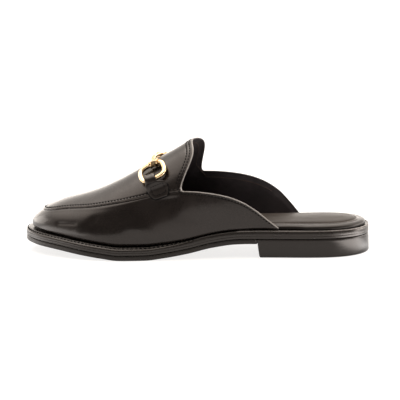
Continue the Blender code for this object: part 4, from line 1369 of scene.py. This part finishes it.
def make_bar(lateral, medial):
    start = RING_DROP - RING_WIDTH + RING_WIRE
    low = BAR_WIRE / 2 + 2 * JOINT_GAP

    def bar_point(trim, share, height):
        straighten = -trim.patch.slant / math.sqrt(1 - trim.patch.slant**2) * start * share**2 / 2
        return trim.patch.point(BAR_OFFSET + straighten, start * (1 - share), height)

    middle = (bar_point(lateral, 1, low) + bar_point(medial, 1, low)) / 2

    def half(trim):
        shift = middle - bar_point(trim, 1, low)
        line = [trim.hold]
        for share in np.arange(1, 24) / 24:
            height = trim.high_height + (low - trim.high_height) * smooth_step(share)
            line.append(bar_point(trim, share, height) + shift * share)
        return line

    line = half(lateral) + [middle] + half(medial)[::-1]
    radii = []
    for share in np.abs(np.linspace(-1, 1, len(line))):
        swell = 0.78 + 0.22 * bell(share, 0.55, 0.25) + 0.10 * bell(share, 0.0, 0.07)
        radii.append(BAR_WIRE / 2 * (swell - 0.12 * bell(share, 0.17, 0.05)))
    parts = [tube(line, radii, sides=20), make_barrel(lateral), make_barrel(medial)]
    item = add_object("snaffle_bar", merge(parts), [GOLD_DEEP], "bit_bar")
    item.data.set_sharp_from_angle(angle=math.radians(32))


CREASE_DROP = 3.4 * MM
STRAP_STEPS, FLAT_ROWS, FOLD_ROWS, SHADOW_ROWS = 16, 49, 20, 28


class Strap:
    """A tab that lies on the apron and folds round its ring, as rows of points from its lower end on."""

    def __init__(self, trim):
        self.trim = trim
        self.flat = JOINT_GAP * 0.3 + STRAP_THICKNESS / 2
        self.radius = RING_WIRE / 2 + TRIM_CLEARANCE + STRAP_THICKNESS / 2
        path = [(self.drop(share), self.height(share)) for share in np.linspace(0, 1, FLAT_ROWS)]
        for i in range(1, FOLD_ROWS + 1):
            turn = math.pi / 2 + math.pi * i / FOLD_ROWS
            down = RING_DROP + (self.radius + FOLD_SLACK) * math.cos(turn)
            path.append((down, trim.low_height + self.radius * math.sin(turn)))
        path.append((RING_DROP + 0.3 * self.radius, self.flat))
        self.grid = np.array([self.row(k, *row) for k, row in enumerate(path)])
        normal = np.cross(np.gradient(self.grid, axis=0), np.gradient(self.grid, axis=1))
        normal /= np.linalg.norm(normal, axis=2)[:, :, None]
        self.out = trim.patch.frame_at(0.0, RING_DROP + STRAP_LENGTH * 0.6)[1]
        self.normal = normal if normal[12, STRAP_STEPS // 2] @ self.out > 0 else -normal

    def drop(self, share):
        return RING_DROP + STRAP_LENGTH * (1 - share)

    def height(self, share):
        rise = smooth_step((share - 0.4) / 0.6)
        return self.flat + (self.trim.low_height + self.radius - self.flat) * rise

    def row(self, k, down, height):
        trim = self.trim
        reach = (RING_DROP + STRAP_LENGTH - down) / (0.55 * STRAP_WIDTH)
        neck = 1.0
        if k < FLAT_ROWS:
            neck = smooth_step((RING_DROP + STRAP_SHOULDER - 1.6 * MM - down) / (0.6 * STRAP_FLARE))
        width = STRAP_WIDTH + (STRAP_NECK - STRAP_WIDTH) * neck
        half = width / 2 * (0.55 + 0.45 * math.sqrt(1 - (1 - min(reach, 1.0)) ** 2))
        points = []
        for u in np.linspace(-1, 1, STRAP_STEPS + 1):
            wider = 1.2 * MM * (1 - neck) * min(reach, 1.0) if u < 0 else 0.0
            along = (half + wider) * signed_power(u, 0.85) + (STRAP_WIDTH - STRAP_NECK) / 2 * (1 - neck)
            points.append(trim.patch.point(along, down, height) - trim.across * trim.sag(along) * neck)
        return points

    def on_top(self, along, drop, rise):
        """A point over the tab's upper side at a distance below the ring's middle, and the apron's normal."""
        here, normal = self.trim.patch.frame_at(along, RING_DROP + drop)
        height = self.height(1 - drop / STRAP_LENGTH)
        return here + normal * (APRON_STEP + height + STRAP_THICKNESS / 2 + rise), normal


def make_strap(trim):
    strap = Strap(trim)
    rows, steps, wide = len(strap.grid), STRAP_STEPS, STRAP_STEPS + 1
    vertices, worn = [], []
    for way in (1, -1):
        for k in range(rows):
            for i in range(wide):
                height = way * STRAP_THICKNESS / 2
                if way > 0:
                    height += 0.18 * MM * smooth_step(min(i / 4, (steps - i) / 4, k / 8))
                    height -= 0.30 * MM * max(1 - min(i, steps - i, k * 0.8) / 1.6, 0.0) ** 2
                vertices.append(strap.grid[k, i] + strap.normal[k, i] * height)
                worn.append(0.2 if way > 0 and (i in (0, steps) or k == 0) else 0.0)
    count = rows * wide
    faces = []
    for k in range(rows - 1):
        for a in range(k * wide, k * wide + steps):
            faces.append((a, a + 1, a + wide + 1, a + wide))
            faces.append(tuple(c + count for c in (a, a + wide, a + wide + 1, a + 1)))
    border = [*range(steps), *range(steps, count - 1, wide), *range(count - 1, count - wide, -1)]
    border += range(count - wide, 0, -wide)
    looks = [0] * len(faces) + [1] * len(border)
    for a, b in zip(border, border[1:] + border[:1]):
        faces.append((a, a + count, b + count, b))
    name = trim.side.name
    materials = [STRAP_LEATHER, EDGE_INK]
    shape = vertices, faces
    item = add_object("strap_" + name, shape, materials, "strap_tab_" + name, looks, worn)
    edges = item.modifiers.new("edges", "BEVEL")
    edges.width = 0.25 * MM
    edges.segments = 3
    edges.limit_method = "ANGLE"
    edges.angle_limit = math.radians(50)
    parts = [strap_seam(strap), strap_crease(strap), strap_shadow(strap)]
    # The tab's stitches, with the dark tubes that paint the crease's shade and the shadow round its foot.
    add_object("strap_stitches_" + name, merge(parts), [THREAD])


def strap_seam(strap):
    """Stitches in a rounded rectangle on the tab, flatter at its upper corners."""
    half, top, low, corner = 0.0049, 0.0052, STRAP_LENGTH - 0.0022, 0.0022
    shift = (STRAP_WIDTH - STRAP_NECK) / 2
    side, bottom = half - corner, low - corner
    loop = []
    for across, drop, start, squash in (
        (side, bottom, 0, 1.0), (-side, bottom, 90, 1.0),
        (-side, top + corner * 0.3, 180, 0.3), (side, top + corner * 0.3, 270, 0.3),
    ):
        for turn in np.radians(np.linspace(start, start + 90, 7)):
            loop.append((shift + across + corner * math.cos(turn), drop + corner * math.sin(turn) * squash))
    points, ups = [], []
    for here, ahead in zip(np.array(loop), np.array(loop[1:] + loop[:1])):
        for along, drop in (here, (here + ahead) / 2):
            point, normal = strap.on_top(along, drop, 0.12 * MM)
            points.append(point)
            ups.append(normal)
    return stitches(points, ups, 1.9 * MM, 1.35 * MM, 0.7 * MM, 0.14 * MM)


def strap_crease(strap):
    """A dark tube across the tab under its ring: painted shade of the crease there."""
    places = STRAP_NECK / 2 * 0.98 * np.linspace(-1, 1, 13)
    return tube([strap.on_top(along, CREASE_DROP, 0.05 * MM)[0] for along in places], 0.32 * MM, sides=8)


def strap_shadow(strap):
    """A dark tube on the apron round the tab's foot: a painted shadow where the tab meets the apron."""
    grid, steps = strap.grid, STRAP_STEPS
    outline = [*grid[SHADOW_ROWS:0:-1, steps], *grid[0, steps:0:-1], *grid[:SHADOW_ROWS, 0]]
    line = []
    for point in outline:
        away = unit(point - grid[10, steps // 2])
        line.append(point + away * 0.25 * MM - strap.out * (STRAP_THICKNESS / 2))
    return tube(line, 0.5 * MM, sides=8, up=strap.out)


trims = Trim(LATERAL), Trim(MEDIAL)
for trim in trims:
    make_ring(trim)
    make_strap(trim)
make_bar(*trims)

# Stage, light and camera

# The floor is lit from below, more strongly in a patch beyond the heel and one beyond the toe
FLOOR_GLOW, HEEL_GLOW, TOE_GLOW = 0.82, 8.5, 2.4
GLOW_PLACE, GLOW_FADE = 0.240, (0.085, 0.100)
GLOW_OFFSET, GLOW_EDGE = 0.062, (0.050, 0.085)
FLOOR_HALF, FLOOR_HEIGHT = 25, -0.0002
corners = [(x * FLOOR_HALF, y * FLOOR_HALF, FLOOR_HEIGHT) for x, y in ((-1, -1), (1, -1), (1, 1), (-1, 1))]
floor_mesh = bpy.data.meshes.new("floor")
floor_mesh.from_pydata(corners, [], [(0, 1, 2, 3)])
floor = bpy.data.objects.new("floor", floor_mesh)
bpy.context.scene.collection.objects.link(floor)
n = Material("pale_floor", 0.8, Emission_Color=(1.0, 0.985, 0.97, 1), Specular_IOR_Level=0.1)
x, y, _ = n.split(n.coordinates["Object"])
beyond = n.calculate("ABSOLUTE", n.sum(n.calculate("ABSOLUTE", x), -GLOW_PLACE))
across = n.calculate("ABSOLUTE", n.sum(y, -GLOW_OFFSET))
patch = n.calculate("MULTIPLY", n.ramp(beyond, *GLOW_FADE, 1.0, 0.0), n.ramp(across, *GLOW_EDGE, 1.0, 0.0))
glow = n.calculate("MULTIPLY", patch, n.ramp(x, -0.01, 0.01, HEEL_GLOW, TOE_GLOW))
n.put(n.sockets["Emission Strength"], n.sum(glow, FLOOR_GLOW))
clouds = n.ramp(n.noise(20 * MM), 0.3, 0.7, 0.0, 1.0)
floor_mesh.materials.append(n.finish(n.mix(clouds, (0.235, 0.235, 0.235), (0.25, 0.25, 0.25))))

OVERHEAD_LIGHT, BACK_LIGHT, RIM_LIGHT, SIDE_LIGHT, FRONT_LIGHT = 3.0, 1.4, 2.5, 1.0, 0.20
DOME_COLOUR, LAMP_COLOUR = (1.0, 0.93, 0.86), (1.0, 0.95, 0.9)


def light_dome(tree):
    """Soft light from above and round the sides, and a dim band low down on the camera's side."""
    n = Nodes(tree)
    _, y, z = n.split(n.coordinates["Generated"])
    front = n.ramp(y, 0.05, 0.6, SIDE_LIGHT, FRONT_LIGHT, "SMOOTHSTEP")
    behind = n.ramp(y, -0.85, -0.30, 1.0, 0.0, "SMOOTHSTEP")
    rim = n.calculate("MULTIPLY", behind, n.ramp(z, 0.08, 0.34, RIM_LIGHT, 0.0, "SMOOTHSTEP"))
    low = n.sum(n.mix(behind, front, BACK_LIGHT, "FLOAT"), rim)
    lean = n.sum(z, n.ramp(y, 0.0, 0.9, 0.0, -0.36, "SMOOTHSTEP"))
    rise = n.ramp(lean, 0.50, 0.82, 0.0, 1.0, "SMOOTHSTEP")
    background = tree.nodes["Background"].inputs
    n.put(background["Color"], DOME_COLOUR)
    n.put(background["Strength"], n.mix(rise, low, OVERHEAD_LIGHT, "FLOAT"))


world = bpy.data.worlds.new("studio")
bpy.context.scene.world = world
world.use_nodes = True
light_dome(world.node_tree)


def area_light(name, place, target, size, power):
    data = bpy.data.lights.new(name, "AREA")
    data.shape = "RECTANGLE"
    data.size, data.size_y = size
    data.energy = power
    data.color = LAMP_COLOUR
    light = bpy.data.objects.new(name, data)
    light.location = place
    light.rotation_mode = "QUATERNION"
    light.rotation_quaternion = (Vector(target) - Vector(place)).to_track_quat("-Z", "Y")
    bpy.context.scene.collection.objects.link(light)


area_light("overhead", (0.15, -0.45, 1.5), (0, 0, 0.03), (1.6, 0.9), 14)
area_light("heel_side", (-1.40, -0.35, 0.40), (-0.08, 0, 0.02), (0.9, 0.78), 16)
area_light("toe_side", (1.50, -0.60, 0.36), (0.08, 0, 0.02), (1.1, 0.7), 7)

# The camera looks from the lateral side. SHOWN_PLACE lies at SHOWN_PIXEL of a square picture
VIEW_YAW, VIEW_ELEVATION, VIEW_ROLL = math.radians(9), math.radians(10), math.radians(-1.75)
VIEW_DISTANCE, SENSOR_WIDTH = 1.300, 36.0
PIXELS_PER_METRE, FRAME_PIXELS = 1310.0, 400
SHOWN_PLACE, SHOWN_PIXEL = Vector((0, 0, 0.035)), (193.4, 203.8)
level = math.cos(VIEW_ELEVATION)
back = Vector((-math.sin(VIEW_YAW) * level, math.cos(VIEW_YAW) * level, math.sin(VIEW_ELEVATION)))
right = Vector((-math.cos(VIEW_YAW), -math.sin(VIEW_YAW), 0))
up = back.cross(right)
camera_right = right * math.cos(VIEW_ROLL) + up * math.sin(VIEW_ROLL)
camera_up = up * math.cos(VIEW_ROLL) - right * math.sin(VIEW_ROLL)
aside = camera_right * (FRAME_PIXELS / 2 - SHOWN_PIXEL[0]) + camera_up * (SHOWN_PIXEL[1] - FRAME_PIXELS / 2)
target = SHOWN_PLACE + aside / PIXELS_PER_METRE
camera_data = bpy.data.cameras.new("camera")
camera_data.sensor_width = SENSOR_WIDTH
camera_data.lens = SENSOR_WIDTH * VIEW_DISTANCE * PIXELS_PER_METRE / FRAME_PIXELS
camera = bpy.data.objects.new("camera", camera_data)
camera.matrix_world = Matrix((camera_right, camera_up, back)).transposed().to_4x4()
camera.location = target + back * VIEW_DISTANCE
bpy.context.scene.collection.objects.link(camera)
bpy.context.scene.camera = camera
bpy.context.scene.view_settings.view_transform = "Standard"
